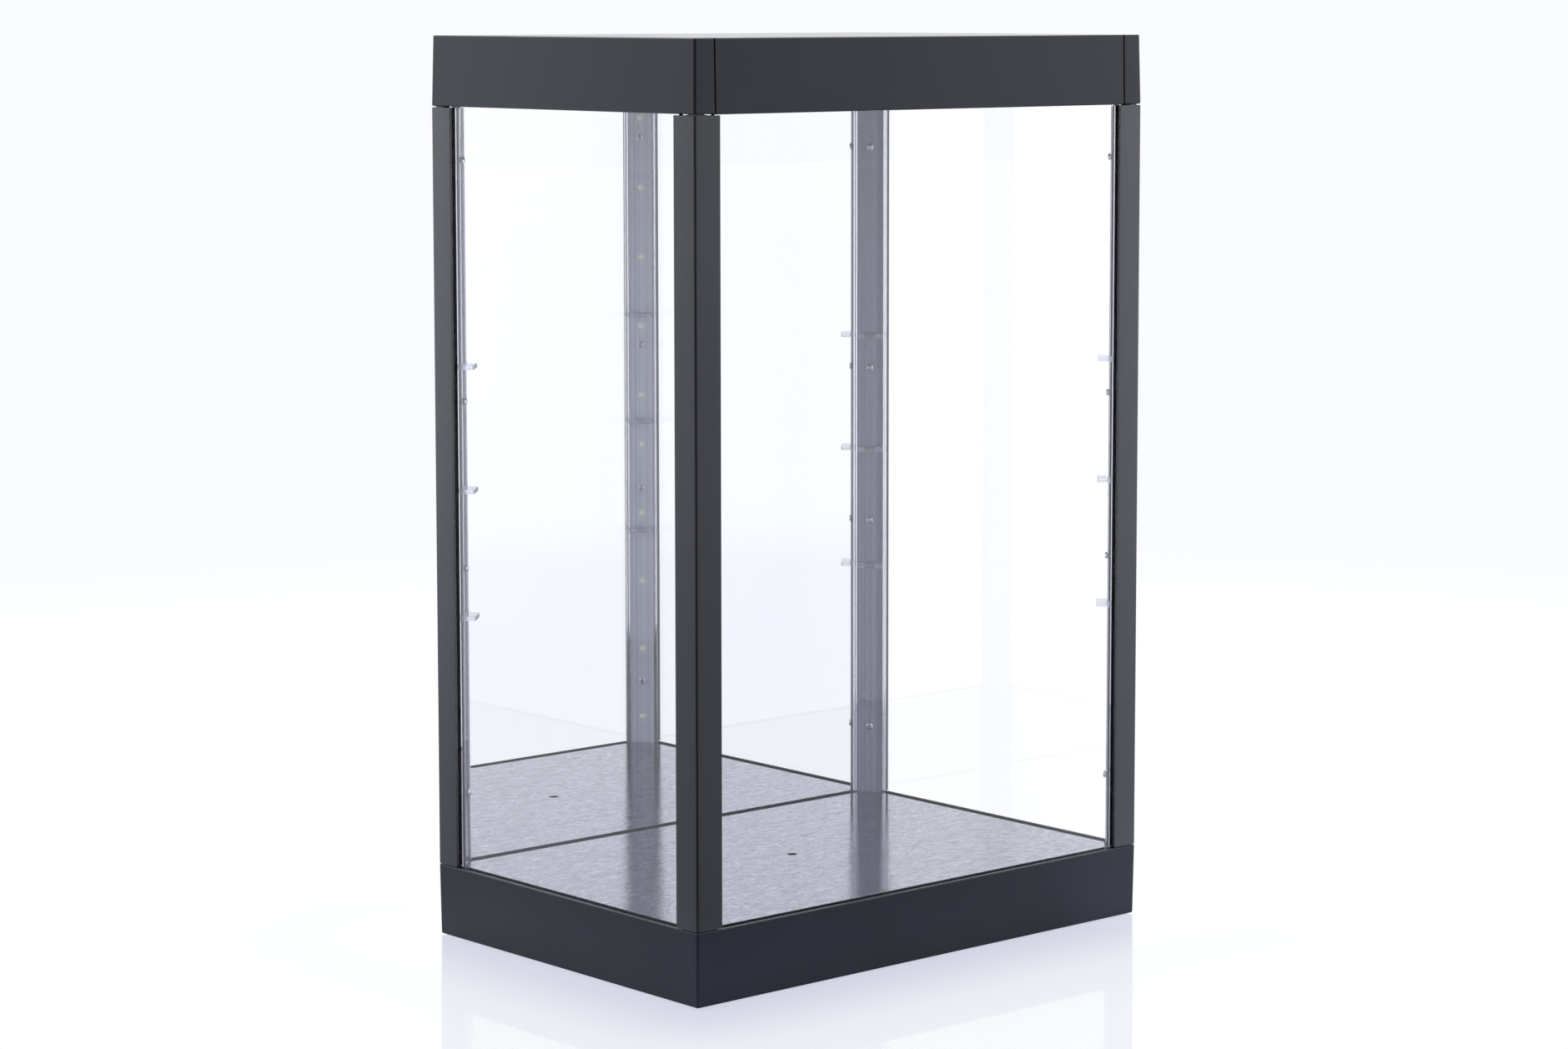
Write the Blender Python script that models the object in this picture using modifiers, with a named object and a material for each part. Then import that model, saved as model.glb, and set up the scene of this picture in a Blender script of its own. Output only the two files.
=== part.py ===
# Figure display case: a black plinth and lid joined by four corner posts, clear side
# panels, a mirrored back, a front panel that slides up out of the lid, and light strips
# behind clear covers in the two front posts.
#
# Metres, +Z up, front towards -Y. The origin is under the middle of the case, at the feet.

import math

import bmesh
import bpy

for item in list(bpy.data.objects):
    bpy.data.objects.remove(item, do_unlink=True)

# Overall sizes

CASE_WIDTH = 0.254
CASE_DEPTH = 0.175
CASE_HEIGHT = 0.390
LID_HEIGHT = 0.030
PLINTH_HEIGHT = 0.0309
FOOT_HEIGHT = 0.0006

# Sizes that several pieces share

SKIN = 0.0012
WALL = 0.0024
CLEARANCE = 0.0003
RUNNING_GAP = 0.0003
CORNER_RADIUS = 0.0011
EDGE_BEVEL = 0.0004
OVERRUN = 0.004
PANEL_THICKNESS = 0.0020
PANEL_GRIP = 0.0018
LID_DRAFT = 0.0006
PLINTH_DRAFT = 0.0004
LID_GAP = 0.0005
CORNER_STEPS = 4
ROUND_STEPS = 16
ROOT_TWO = math.sqrt(2.0)
MERGE_DISTANCE = 1e-6

# Plinth, bottom plate and floor

GROOVE_DEPTH = 0.0033
WEB_THICKNESS = 0.0018
FLOOR_THICKNESS = 0.0015
FLOOR_DROP = 0.0001
FLOOR_EDGE_GAP = 0.0026
LEDGE_WIDTH = 0.0020
PEG_HOLE_RADIUS = 0.0023
CORNER_BLOCK_HEIGHT = 0.010
REBATE_WALL = 0.0014
BOTTOM_PLATE_THICKNESS = 0.0018
FOOT_RADIUS = 0.006
FOOT_INSET = 0.015

# Corner posts

POST_LEG = 0.0132
LIP_THICKNESS = 0.0010
TROUGH_DEPTH = 0.0092
TROUGH_HALF_WIDTH = 0.0027
COLLAR_INSET = 0.0030
NECK_SIZE = 0.0046
NECK_HEIGHT = 0.0058
FOOT_SPIGOT_SIZE = 0.0040
FOOT_SPIGOT_LENGTH = 0.0040

# Clear covers in front of the posts

COVER_THICKNESS = 0.0008
COVER_FOOT = 0.0018
RAIL_HEIGHT = 0.0002
RAIL_WIDTH = 0.0014

# Cover screws

SCREW_HEIGHT_SHARES = (0.0958, 0.3952, 0.6158, 0.9310)
SCREW_HEAD_RADIUS = 0.0016
SCREW_HEAD_HEIGHT = 0.0009
SCREW_HEAD_CROWN = 0.0003
SCREW_SHANK_RADIUS = 0.0010
SCREW_LENGTH = 0.0088
SCREW_TIP = 0.0008
SCREW_CROSS_LENGTH = 0.0019
SCREW_CROSS_WIDTH = 0.0005
SCREW_CROSS_DEPTH = 0.0005

# Shelf tabs

TAB_HEIGHT_SHARES = (0.3305, 0.4986, 0.6616)
TAB_THICKNESS = 0.0020
TAB_WIDTH = 0.0120
TAB_TIP = 0.0188
TAB_CORNER = 0.0004
TAB_STEM_WIDTH = 0.0044
TAB_STEM_START = 0.0117

# Light strips in the two front posts

STRIP_WIDTH = 0.0046
STRIP_THICKNESS = 0.0010
LED_WIDTH = 0.0035
LED_HEIGHT = 0.0028
LED_THICKNESS = 0.0008
LEDS_PER_STRIP = 5
LOWEST_LED = 0.0423
TOP_LED_DROP = 0.0149
STRIP_END_MARGIN = 0.0074
STRIP_JOINT_MARGIN = 0.0130

# Lid and door

FASCIA_BACK_THICKNESS = 0.0013
FASCIA_TOP_THICKNESS = 0.0025
FASCIA_DROP = 0.0002
FASCIA_END_GAP = 0.0007
LINER_THICKNESS = 0.0015
LINER_RISE = 0.0010
PANEL_RISE = 0.0027
LID_BOSS_RADIUS = 0.0035
LID_BOSS_INSET = 0.016

# Driver board, inlet and button in the plinth

BOARD_LENGTH = 0.064
BOARD_WIDTH = 0.038
BOARD_THICKNESS = 0.0016
BOARD_BACK_GAP = 0.0240
STANDOFF_RADIUS = 0.0025
STANDOFF_HEIGHT = 0.0037
STANDOFF_INSET = 0.0050
CHOKE_SIZE = 0.0095
CHOKE_HEIGHT = 0.0060
CAPACITOR_RADIUS = 0.0030
CAPACITOR_HEIGHT = 0.0080
CHIP_LENGTH = 0.0060
CHIP_HEIGHT = 0.0014
HEADER_LENGTH = 0.0070
HEADER_WIDTH = 0.0045
HEADER_HEIGHT = 0.0050
HEADER_SPACING = 0.0440
SWITCH_LENGTH = 0.0070
SWITCH_HEIGHT = 0.0100
INLET_OFFSET = -0.0150
BUTTON_OFFSET = 0.0150
PORT_HEIGHT = 0.0150
PORT_PLATE_WIDTH = 0.0500
PORT_PLATE_HEIGHT = 0.0160
PORT_FLANGE_WIDTH = 0.0015
PORT_FLANGE_THICKNESS = 0.0010
INLET_NOSE_RADIUS = 0.0040
INLET_BORE_RADIUS = 0.0028
INLET_PIN_RADIUS = 0.0010
INLET_BODY_WIDTH = 0.0100
INLET_BODY_HEIGHT = 0.0094
INLET_BODY_DEPTH = 0.0100
BUTTON_RADIUS = 0.0045
BUTTON_SINK = 0.0003
BUTTON_FLANGE_WIDTH = 0.0012
BUTTON_FLANGE_THICKNESS = 0.0012
BUTTON_TRAVEL = 0.0012
WIRE_RADIUS = 0.0007
WIRE_HOLE_RADIUS = 0.0012
WIRE_HOLE_DEPTH = 0.0114
WIRE_SIDE_GAP = 0.0070
WIRE_RUN_HEIGHT = 0.0100
WIRE_LIFT = 0.0030
WIRE_BEND = 0.0120
WIRE_STEPS = 6

# Levels and planes worked out from the sizes above. Insets count inwards from an outer face,
# and the height shares are of a post's length.

PLINTH_LOW = FOOT_HEIGHT
PLINTH_TOP = PLINTH_LOW + PLINTH_HEIGHT
LID_LOW = CASE_HEIGHT - LID_HEIGHT
POST_LOW = PLINTH_TOP + CLEARANCE
POST_TOP = LID_LOW - LID_GAP
GROOVE_FLOOR = PLINTH_TOP - GROOVE_DEPTH
WEB_LOW = GROOVE_FLOOR - WEB_THICKNESS
FLOOR_TOP = PLINTH_TOP - FLOOR_DROP
FLOOR_LOW = FLOOR_TOP - FLOOR_THICKNESS
LEDGE_TOP = FLOOR_LOW - CLEARANCE
BLOCK_LOW = PLINTH_TOP - CORNER_BLOCK_HEIGHT
PLATE_LOW = PLINTH_LOW + CLEARANCE
PLATE_TOP = PLATE_LOW + BOTTOM_PLATE_THICKNESS
PANEL_OUT = SKIN + CLEARANCE
PANEL_IN = PANEL_OUT + PANEL_THICKNESS
GROOVE_IN = PANEL_IN + CLEARANCE
GROOVE_END = POST_LEG - PANEL_GRIP - CLEARANCE
PANEL_END = GROOVE_END + CLEARANCE
PANEL_LOW = GROOVE_FLOOR + CLEARANCE
PANEL_TOP = LID_LOW + PANEL_RISE
LIP_IN = GROOVE_IN + LIP_THICKNESS
FLOOR_IN = GROOVE_IN + FLOOR_EDGE_GAP
LEDGE_IN = FLOOR_IN + LEDGE_WIDTH
COVER_START = POST_LEG + CLEARANCE
COVER_BACK = (POST_LEG + LIP_IN) / ROOT_TWO + CLEARANCE
COVER_FACE = COVER_BACK + COVER_THICKNESS
COVER_END = COVER_START + COVER_FOOT
COVER_LOW = LEDGE_TOP + CLEARANCE
COVER_TOP = POST_TOP - CLEARANCE
NOTCH_END = GROOVE_END - FASCIA_END_GAP
FASCIA_IN = GROOVE_IN + FASCIA_BACK_THICKNESS
NOTCH_IN = FASCIA_IN + RUNNING_GAP
LID_FRONT_IN = NOTCH_IN + SKIN
CHEEK_IN = NOTCH_END - SKIN
HALF_WIDTH = CASE_WIDTH / 2
HALF_DEPTH = CASE_DEPTH / 2
POST_LENGTH = POST_TOP - POST_LOW
SCREW_HEIGHTS = [POST_LOW + share * POST_LENGTH for share in SCREW_HEIGHT_SHARES]
TAB_HEIGHTS = [POST_LOW + share * POST_LENGTH for share in TAB_HEIGHT_SHARES]
LAMPS_SPAN = POST_TOP - TOP_LED_DROP - LOWEST_LED
STRIP_SPAN = (LAMPS_SPAN - STRIP_JOINT_MARGIN - STRIP_JOINT_MARGIN - CLEARANCE) / 2
LED_PITCH = STRIP_SPAN / (LEDS_PER_STRIP - 1)

CORNERS = {
    "front_left": (-1, -1, 0.0),
    "front_right": (1, -1, math.pi / 2),
    "rear_right": (1, 1, math.pi),
    "rear_left": (-1, 1, math.pi * 3 / 2),
}

# Materials

BLACK = ("black_plastic", (0.030, 0.030, 0.034, 1.0), 0.42, 0.0)
CLEAR = ("clear_acrylic", (0.86, 0.90, 0.93, 0.25), 0.05, 0.0)
MIRROR = ("mirror_sheet", (0.85, 0.87, 0.88, 1.0), 0.03, 1.0)
SILVER = ("silver_laminate", (0.50, 0.51, 0.55, 1.0), 0.25, 0.4)
RUBBER = ("rubber", (0.02, 0.02, 0.02, 1.0), 0.8, 0.0)
STEEL = ("steel", (0.50, 0.50, 0.52, 1.0), 0.3, 1.0)
WHITE_BOARD = ("white_board", (0.80, 0.82, 0.84, 1.0), 0.4, 0.0)
GREEN_BOARD = ("green_board", (0.03, 0.20, 0.09, 1.0), 0.4, 0.0)
WIRE_SLEEVE = ("wire_sleeve", (0.75, 0.75, 0.75, 1.0), 0.5, 0.0)


def new_collection(name):
    collection = bpy.data.collections.new(name)
    bpy.context.scene.collection.children.link(collection)
    return collection


parts = new_collection("figure_display_case")
cutters = new_collection("cutters")


def material(look):
    name, colour, roughness, metallic = look
    found = bpy.data.materials.get(name)
    if found:
        return found
    made = bpy.data.materials.new(name)
    made.use_nodes = True
    shader = made.node_tree.nodes["Principled BSDF"]
    shader.inputs["Base Color"].default_value = colour
    shader.inputs["Roughness"].default_value = roughness
    shader.inputs["Metallic"].default_value = metallic
    shader.inputs["Alpha"].default_value = colour[3]
    return made


def tool_object(mesh):
    """An object in the cutters collection, hidden from the render."""
    tool = bpy.data.objects.new("cutter", mesh)
    tool.hide_render = True
    tool.display_type = "WIRE"
    cutters.objects.link(tool)
    return tool


def mesh_from(shape):
    mesh = bpy.data.meshes.new("shape")
    shape.to_mesh(mesh)
    shape.free()
    return mesh


def box(low, high):
    """A box between two opposite corners."""
    shape = bmesh.new()
    bmesh.ops.create_cube(shape, size=1.0)
    size = [b - a for a, b in zip(low, high)]
    middle = [(a + b) / 2 for a, b in zip(low, high)]
    bmesh.ops.scale(shape, vec=size, verts=shape.verts)
    bmesh.ops.translate(shape, vec=middle, verts=shape.verts)
    return tool_object(mesh_from(shape))


def cylinder(centre, radius, length, turn=(0.0, 0.0, 0.0), steps=ROUND_STEPS):
    """A cylinder that starts at centre and runs its length along +Z, then turned."""
    shape = bmesh.new()
    bmesh.ops.create_cone(shape, cap_ends=True, segments=steps, radius1=radius, radius2=radius, depth=length)
    bmesh.ops.translate(shape, vec=(0.0, 0.0, length / 2), verts=shape.verts)
    rod = tool_object(mesh_from(shape))
    rod.location = centre
    rod.rotation_euler = turn
    return rod


def prism(outline, low, high):
    """A flat outline made solid between two heights."""
    curve = bpy.data.curves.new("outline", "CURVE")
    curve.dimensions = "2D"
    curve.fill_mode = "BOTH"
    curve.extrude = (high - low) / 2
    spline = curve.splines.new("POLY")
    spline.points.add(len(outline) - 1)
    for point, (x, y) in zip(spline.points, outline):
        point.co = (x, y, 0.0, 1.0)
    spline.use_cyclic_u = True
    drawn = tool_object(curve)
    bpy.context.view_layer.update()
    depsgraph = bpy.context.evaluated_depsgraph_get()
    mesh = bpy.data.meshes.new_from_object(drawn.evaluated_get(depsgraph))
    bpy.data.objects.remove(drawn, do_unlink=True)
    shape = bmesh.new()
    shape.from_mesh(mesh)
    bmesh.ops.remove_doubles(shape, verts=shape.verts, dist=MERGE_DISTANCE)
    middle = (low + high) / 2
    for end in (low - middle, high - middle):
        cap = [face for face in shape.faces if all(abs(v.co.z - end) < MERGE_DISTANCE for v in face.verts)]
        bmesh.ops.dissolve_faces(shape, faces=cap)
    bmesh.ops.translate(shape, vec=(0.0, 0.0, middle), verts=shape.verts)
    bmesh.ops.recalc_face_normals(shape, faces=shape.faces)
    return tool_object(mesh_from(shape))


def settle(target):
    """Turns an object's modifiers into its mesh."""
    bpy.context.view_layer.update()
    depsgraph = bpy.context.evaluated_depsgraph_get()
    mesh = bpy.data.meshes.new_from_object(target.evaluated_get(depsgraph))
    target.modifiers.clear()
    target.data = mesh


def combine(target, tool, operation):
    modifier = target.modifiers.new("combine", "BOOLEAN")
    modifier.operation = operation
    modifier.solver = "EXACT"
    modifier.object = tool
    settle(target)
    bpy.data.objects.remove(tool, do_unlink=True)


def cut(target, tool):
    combine(target, tool, "DIFFERENCE")


def join(target, tool):
    combine(target, tool, "UNION")


def finish(target, name, look, smooth=False):
    """Names a finished solid, gives it its material and moves it among the parts."""
    target.name = name
    target.data.name = name
    target.data.materials.clear()
    target.data.materials.append(material(look))
    if smooth:
        target.data.shade_smooth()
        target.data.set_sharp_from_angle(angle=math.radians(35))
    target.hide_render = False
    target.display_type = "TEXTURED"
    cutters.objects.unlink(target)
    parts.objects.link(target)
    return target


def copy_to(source, name, location, turn):
    """Another object with the same mesh, placed elsewhere."""
    twin = source.copy()
    twin.name = name
    twin.location = location
    twin.rotation_euler = turn
    parts.objects.link(twin)
    return twin


def arc(centre, radius, start, end, steps):
    points = []
    for index in range(steps + 1):
        angle = start + (end - start) * index / steps
        points.append((centre[0] + radius * math.cos(angle), centre[1] + radius * math.sin(angle)))
    return points


def rounded_plan(half_x, half_y, radius):
    points = []
    quarter = math.pi / 2
    for index, (side_x, side_y) in enumerate(((1, 1), (-1, 1), (-1, -1), (1, -1))):
        centre = (side_x * (half_x - radius), side_y * (half_y - radius))
        points += arc(centre, radius, index * quarter, (index + 1) * quarter, CORNER_STEPS)
    return points


def plan(inset):
    """A plain rectangle, inset from the case's outer faces."""
    x = HALF_WIDTH - inset
    y = HALF_DEPTH - inset
    return [(-x, -y), (x, -y), (x, y), (-x, y)]


def notched_plan(inset, notch, bevel):
    """The same rectangle without the post's foot at each corner.

    notch and bevel count in from the outer faces, like the ends of a post's lips: the foot
    is a square of side notch whose inner corner is cut straight across from bevel to bevel.
    """
    x = HALF_WIDTH - inset
    y = HALF_DEPTH - inset
    near_x = HALF_WIDTH - notch
    near_y = HALF_DEPTH - notch
    quarter = [(x, near_y)]
    if bevel > inset:
        quarter += [(HALF_WIDTH - bevel, near_y), (near_x, HALF_DEPTH - bevel)]
    quarter += [(near_x, y)]
    points = []
    points += quarter
    points += [(-px, py) for px, py in reversed(quarter)]
    points += [(-px, -py) for px, py in quarter]
    points += [(px, -py) for px, py in reversed(quarter)]
    return points


def drafted_block(low, high, low_inset, high_inset):
    """The outer block of the lid or the plinth, narrowed a little at one end."""
    block = prism(rounded_plan(HALF_WIDTH, HALF_DEPTH, CORNER_RADIUS), low, high)
    middle = (low + high) / 2
    for vertex in block.data.vertices:
        inset = low_inset if vertex.co.z < middle else high_inset
        vertex.co.x *= (HALF_WIDTH - inset) / HALF_WIDTH
        vertex.co.y *= (HALF_DEPTH - inset) / HALF_DEPTH
    bevel = block.modifiers.new("edges", "BEVEL")
    bevel.width = EDGE_BEVEL
    bevel.segments = 1
    bevel.limit_method = "ANGLE"
    bevel.angle_limit = math.radians(60)
    settle(block)
    return block


def corner_place(name):
    side_x, side_y, turn = CORNERS[name]
    return (side_x * HALF_WIDTH, side_y * HALF_DEPTH, 0.0), (0.0, 0.0, turn)


def corner_point(name, depth):
    """The point on a corner's diagonal, depth along it from the outer corner."""
    side_x, side_y, turn = CORNERS[name]
    step = depth / ROOT_TWO
    return side_x * (HALF_WIDTH - step), side_y * (HALF_DEPTH - step)


def from_diagonal(across, depth):
    """A point of the corner's own frame, from its place across and along the diagonal."""
    return (depth + across) / ROOT_TWO, (depth - across) / ROOT_TWO


def mirrored_outline(half):
    """Closes an outline that is the same on both sides of the diagonal."""
    return half + [(y, x) for x, y in reversed(half)]


# Plinth
# A hollow tray with a groove for each panel, a ledge for the floor and a block at each
# corner that the posts plug into. The underside has a rebate for the bottom plate.

plinth = drafted_block(PLINTH_LOW, PLINTH_TOP, PLINTH_DRAFT, 0.0)
below = PLINTH_LOW - OVERRUN
above = PLINTH_TOP + OVERRUN
cut(plinth, prism(plan(REBATE_WALL), below, PLATE_TOP + CLEARANCE))
cut(plinth, prism(plan(WALL), below, BLOCK_LOW))
cut(plinth, prism(notched_plan(WALL, POST_LEG, LEDGE_IN), PLINTH_LOW, WEB_LOW))
cut(plinth, prism(notched_plan(LEDGE_IN, POST_LEG, LEDGE_IN), PLINTH_LOW, above))
cut(plinth, prism(notched_plan((SKIN + GROOVE_IN) / 2, POST_LEG, LIP_IN), LEDGE_TOP, above))
for side in (-1, 1):
    outer_y = side * (HALF_DEPTH - SKIN)
    inner_y = side * (HALF_DEPTH - GROOVE_IN)
    reach_x = HALF_WIDTH - GROOVE_END
    cut(plinth, box((-reach_x, min(outer_y, inner_y), GROOVE_FLOOR), (reach_x, max(outer_y, inner_y), above)))
    outer_x = side * (HALF_WIDTH - SKIN)
    inner_x = side * (HALF_WIDTH - GROOVE_IN)
    reach_y = HALF_DEPTH - GROOVE_END
    cut(plinth, box((min(outer_x, inner_x), -reach_y, GROOVE_FLOOR), (max(outer_x, inner_x), reach_y, above)))

# Sockets for the posts' feet, and a hole for each wire
socket_near = COLLAR_INSET - CLEARANCE
socket_far = COLLAR_INSET + FOOT_SPIGOT_SIZE + CLEARANCE
socket_low = PLINTH_TOP - FOOT_SPIGOT_LENGTH - CLEARANCE
for corner in CORNERS:
    place, turn = corner_place(corner)
    socket = box((socket_near, socket_near, socket_low), (socket_far, socket_far, above))
    socket.location = place
    socket.rotation_euler = turn
    cut(plinth, socket)
for corner in ("front_left", "front_right"):
    hole_x, hole_y = corner_point(corner, WIRE_HOLE_DEPTH)
    start = (hole_x, hole_y, BLOCK_LOW - OVERRUN)
    cut(plinth, cylinder(start, WIRE_HOLE_RADIUS, CORNER_BLOCK_HEIGHT + OVERRUN + OVERRUN))

# Window in the back wall for the port plate
window_half_x = PORT_PLATE_WIDTH / 2 + CLEARANCE
window_half_z = PORT_PLATE_HEIGHT / 2 + CLEARANCE
cut(plinth, box(
    (-window_half_x, HALF_DEPTH - WALL - OVERRUN, PORT_HEIGHT - window_half_z),
    (window_half_x, HALF_DEPTH + OVERRUN, PORT_HEIGHT + window_half_z)))
finish(plinth, "plinth", BLACK)

# Port plate
# A small plate snapped into the window from inside, flush with the back wall, with a round
# hole each for the inlet and the button.

port_face = HALF_DEPTH - PLINTH_DRAFT
port_back = HALF_DEPTH - WALL - CLEARANCE - PORT_FLANGE_THICKNESS
flange_half_x = PORT_PLATE_WIDTH / 2 + PORT_FLANGE_WIDTH
flange_half_z = PORT_PLATE_HEIGHT / 2 + PORT_FLANGE_WIDTH
port_plate = box(
    (-flange_half_x, port_back, PORT_HEIGHT - flange_half_z),
    (flange_half_x, port_back + PORT_FLANGE_THICKNESS, PORT_HEIGHT + flange_half_z))
join(port_plate, box(
    (-PORT_PLATE_WIDTH / 2, port_back + PORT_FLANGE_THICKNESS / 2, PORT_HEIGHT - PORT_PLATE_HEIGHT / 2),
    (PORT_PLATE_WIDTH / 2, port_face, PORT_HEIGHT + PORT_PLATE_HEIGHT / 2)))
along_minus_y = (math.pi / 2, 0.0, 0.0)
port_hole_start = HALF_DEPTH + OVERRUN
port_hole_length = port_hole_start - port_back + OVERRUN
cut(port_plate, cylinder(
    (INLET_OFFSET, port_hole_start, PORT_HEIGHT), INLET_NOSE_RADIUS + CLEARANCE, port_hole_length, along_minus_y))
cut(port_plate, cylinder(
    (BUTTON_OFFSET, port_hole_start, PORT_HEIGHT), BUTTON_RADIUS + CLEARANCE, port_hole_length, along_minus_y))
finish(port_plate, "port_plate", BLACK)

# Bottom plate
# It closes the plinth from below and carries the driver board on four standoffs.

board_back = HALF_DEPTH - BOARD_BACK_GAP
board_front = board_back - BOARD_WIDTH
board_low = PLATE_TOP + STANDOFF_HEIGHT + CLEARANCE
board_top = board_low + BOARD_THICKNESS
bottom_plate = prism(plan(REBATE_WALL + CLEARANCE), PLATE_LOW, PLATE_TOP)
standoff_x = BOARD_LENGTH / 2 - STANDOFF_INSET
for x in (-standoff_x, standoff_x):
    for y in (board_front + STANDOFF_INSET, board_back - STANDOFF_INSET):
        embed = BOTTOM_PLATE_THICKNESS / 2
        join(bottom_plate, cylinder((x, y, PLATE_TOP - embed), STANDOFF_RADIUS, STANDOFF_HEIGHT + embed))
finish(bottom_plate, "bottom_plate", BLACK)

# Feet
# Round rubber pads stuck under the bottom plate.

foot = cylinder((0.0, 0.0, 0.0), FOOT_RADIUS, FOOT_HEIGHT, steps=ROUND_STEPS + ROUND_STEPS)
foot_x = HALF_WIDTH - FOOT_INSET
foot_y = HALF_DEPTH - FOOT_INSET
finish(foot, "foot_front_left", RUBBER, smooth=True)
foot.location = (-foot_x, -foot_y, 0.0)
for corner in ("front_right", "rear_right", "rear_left"):
    side_x, side_y, turn = CORNERS[corner]
    copy_to(foot, "foot_" + corner, (side_x * foot_x, side_y * foot_y, 0.0), (0.0, 0.0, 0.0))

# Floor plate
# A thin laminate sheet on the plinth's ledge, cut out around the covers, with a hole in the
# middle for a figure's peg.

floor_notch = (COVER_FACE + RAIL_HEIGHT + CLEARANCE) * ROOT_TWO - FLOOR_IN
floor_plate = prism(notched_plan(FLOOR_IN, floor_notch, FLOOR_IN), FLOOR_LOW, FLOOR_TOP)
peg_length = FLOOR_THICKNESS + OVERRUN + OVERRUN
cut(floor_plate, cylinder(
    (0.0, 0.0, FLOOR_LOW - OVERRUN), PEG_HOLE_RADIUS, peg_length, steps=ROUND_STEPS + ROUND_STEPS))
finish(floor_plate, "floor_plate", SILVER)

# Driver board
# The circuit that feeds the light strips, with its choke, capacitor, chip, two headers
# and the switch that the button presses.

driver_board = box((-BOARD_LENGTH / 2, board_front, board_low), (BOARD_LENGTH / 2, board_back, board_top))
board_middle = (board_front + board_back) / 2
board_core = board_low + BOARD_THICKNESS / 2
choke_x = -BOARD_LENGTH / 4
join(driver_board, box(
    (choke_x - CHOKE_SIZE / 2, board_middle - CHOKE_SIZE / 2, board_core),
    (choke_x + CHOKE_SIZE / 2, board_middle + CHOKE_SIZE / 2, board_top + CHOKE_HEIGHT)))
join(driver_board, cylinder(
    (0.0, board_middle, board_core), CAPACITOR_RADIUS, CAPACITOR_HEIGHT + BOARD_THICKNESS / 2))
chip_x = BOARD_LENGTH / 4
join(driver_board, box(
    (chip_x - CHIP_LENGTH / 2, board_middle - CHIP_LENGTH / 2, board_core),
    (chip_x + CHIP_LENGTH / 2, board_middle + CHIP_LENGTH / 2, board_top + CHIP_HEIGHT)))
header_front = board_front + HEADER_WIDTH / 2
for side in (-1, 1):
    header_x = side * HEADER_SPACING / 2
    join(driver_board, box(
        (header_x - HEADER_LENGTH / 2, header_front, board_core),
        (header_x + HEADER_LENGTH / 2, header_front + HEADER_WIDTH, board_top + HEADER_HEIGHT)))
flange_face = port_back - CLEARANCE
button_stop = flange_face - BUTTON_FLANGE_THICKNESS
switch_y = board_back - SWITCH_LENGTH / 2
join(driver_board, box(
    (BUTTON_OFFSET - SWITCH_LENGTH / 2, switch_y - SWITCH_LENGTH / 2, board_core),
    (BUTTON_OFFSET + SWITCH_LENGTH / 2, switch_y, board_top + SWITCH_HEIGHT)))
finish(driver_board, "driver_board", GREEN_BOARD)

# Power inlet
# A round socket whose nose fills its hole in the port plate. Its body sits just inside.

inlet_face = port_back - CLEARANCE
nose_end = port_face
inlet_back = inlet_face - INLET_BODY_DEPTH
power_inlet = box(
    (INLET_OFFSET - INLET_BODY_WIDTH / 2, inlet_back, PORT_HEIGHT - INLET_BODY_HEIGHT / 2),
    (INLET_OFFSET + INLET_BODY_WIDTH / 2, inlet_face, PORT_HEIGHT + INLET_BODY_HEIGHT / 2))
nose_length = nose_end - inlet_face + WALL
join(power_inlet, cylinder((INLET_OFFSET, nose_end, PORT_HEIGHT), INLET_NOSE_RADIUS, nose_length, along_minus_y))
bore_length = nose_end - inlet_back - WALL
bore_start = (INLET_OFFSET, nose_end + OVERRUN, PORT_HEIGHT)
cut(power_inlet, cylinder(bore_start, INLET_BORE_RADIUS, bore_length + OVERRUN, along_minus_y))
pin_start = (INLET_OFFSET, nose_end - WALL, PORT_HEIGHT)
join(power_inlet, cylinder(pin_start, INLET_PIN_RADIUS, bore_length - WALL / 2, along_minus_y))
finish(power_inlet, "power_inlet", BLACK)

# Power button
# A round cap through the port plate, kept in by its flange. Its stem reaches the switch.

cap_end = HALF_DEPTH - BUTTON_SINK
power_button = cylinder(
    (BUTTON_OFFSET, cap_end, PORT_HEIGHT), BUTTON_RADIUS, cap_end - button_stop, along_minus_y)
join(power_button, cylinder(
    (BUTTON_OFFSET, flange_face, PORT_HEIGHT), BUTTON_RADIUS + BUTTON_FLANGE_WIDTH,
    BUTTON_FLANGE_THICKNESS, along_minus_y))
stem_length = flange_face - switch_y - BUTTON_TRAVEL - CLEARANCE
join(power_button, cylinder(
    (BUTTON_OFFSET, flange_face, PORT_HEIGHT), BUTTON_RADIUS / 2, stem_length, along_minus_y))
finish(power_button, "power_button", BLACK, smooth=True)


# Wires
# One from each header of the driver board up through the corner block to the foot of the
# light strip.

def smooth_route(route, steps):
    """A smooth curve through the route's points, read at even steps."""
    ends = [route[0]] + route + [route[-1]]
    points = []
    for index in range(len(route) - 1):
        before, start, end, after = ends[index:index + 4]
        for step in range(steps):
            share = step / steps
            points.append(tuple(
                (2 * b + (c - a) * share + (2 * a - 5 * b + 4 * c - d) * share ** 2
                 + (3 * b - a - 3 * c + d) * share ** 3) / 2
                for a, b, c, d in zip(before, start, end, after)))
    points.append(tuple(route[-1]))
    return points


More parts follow.
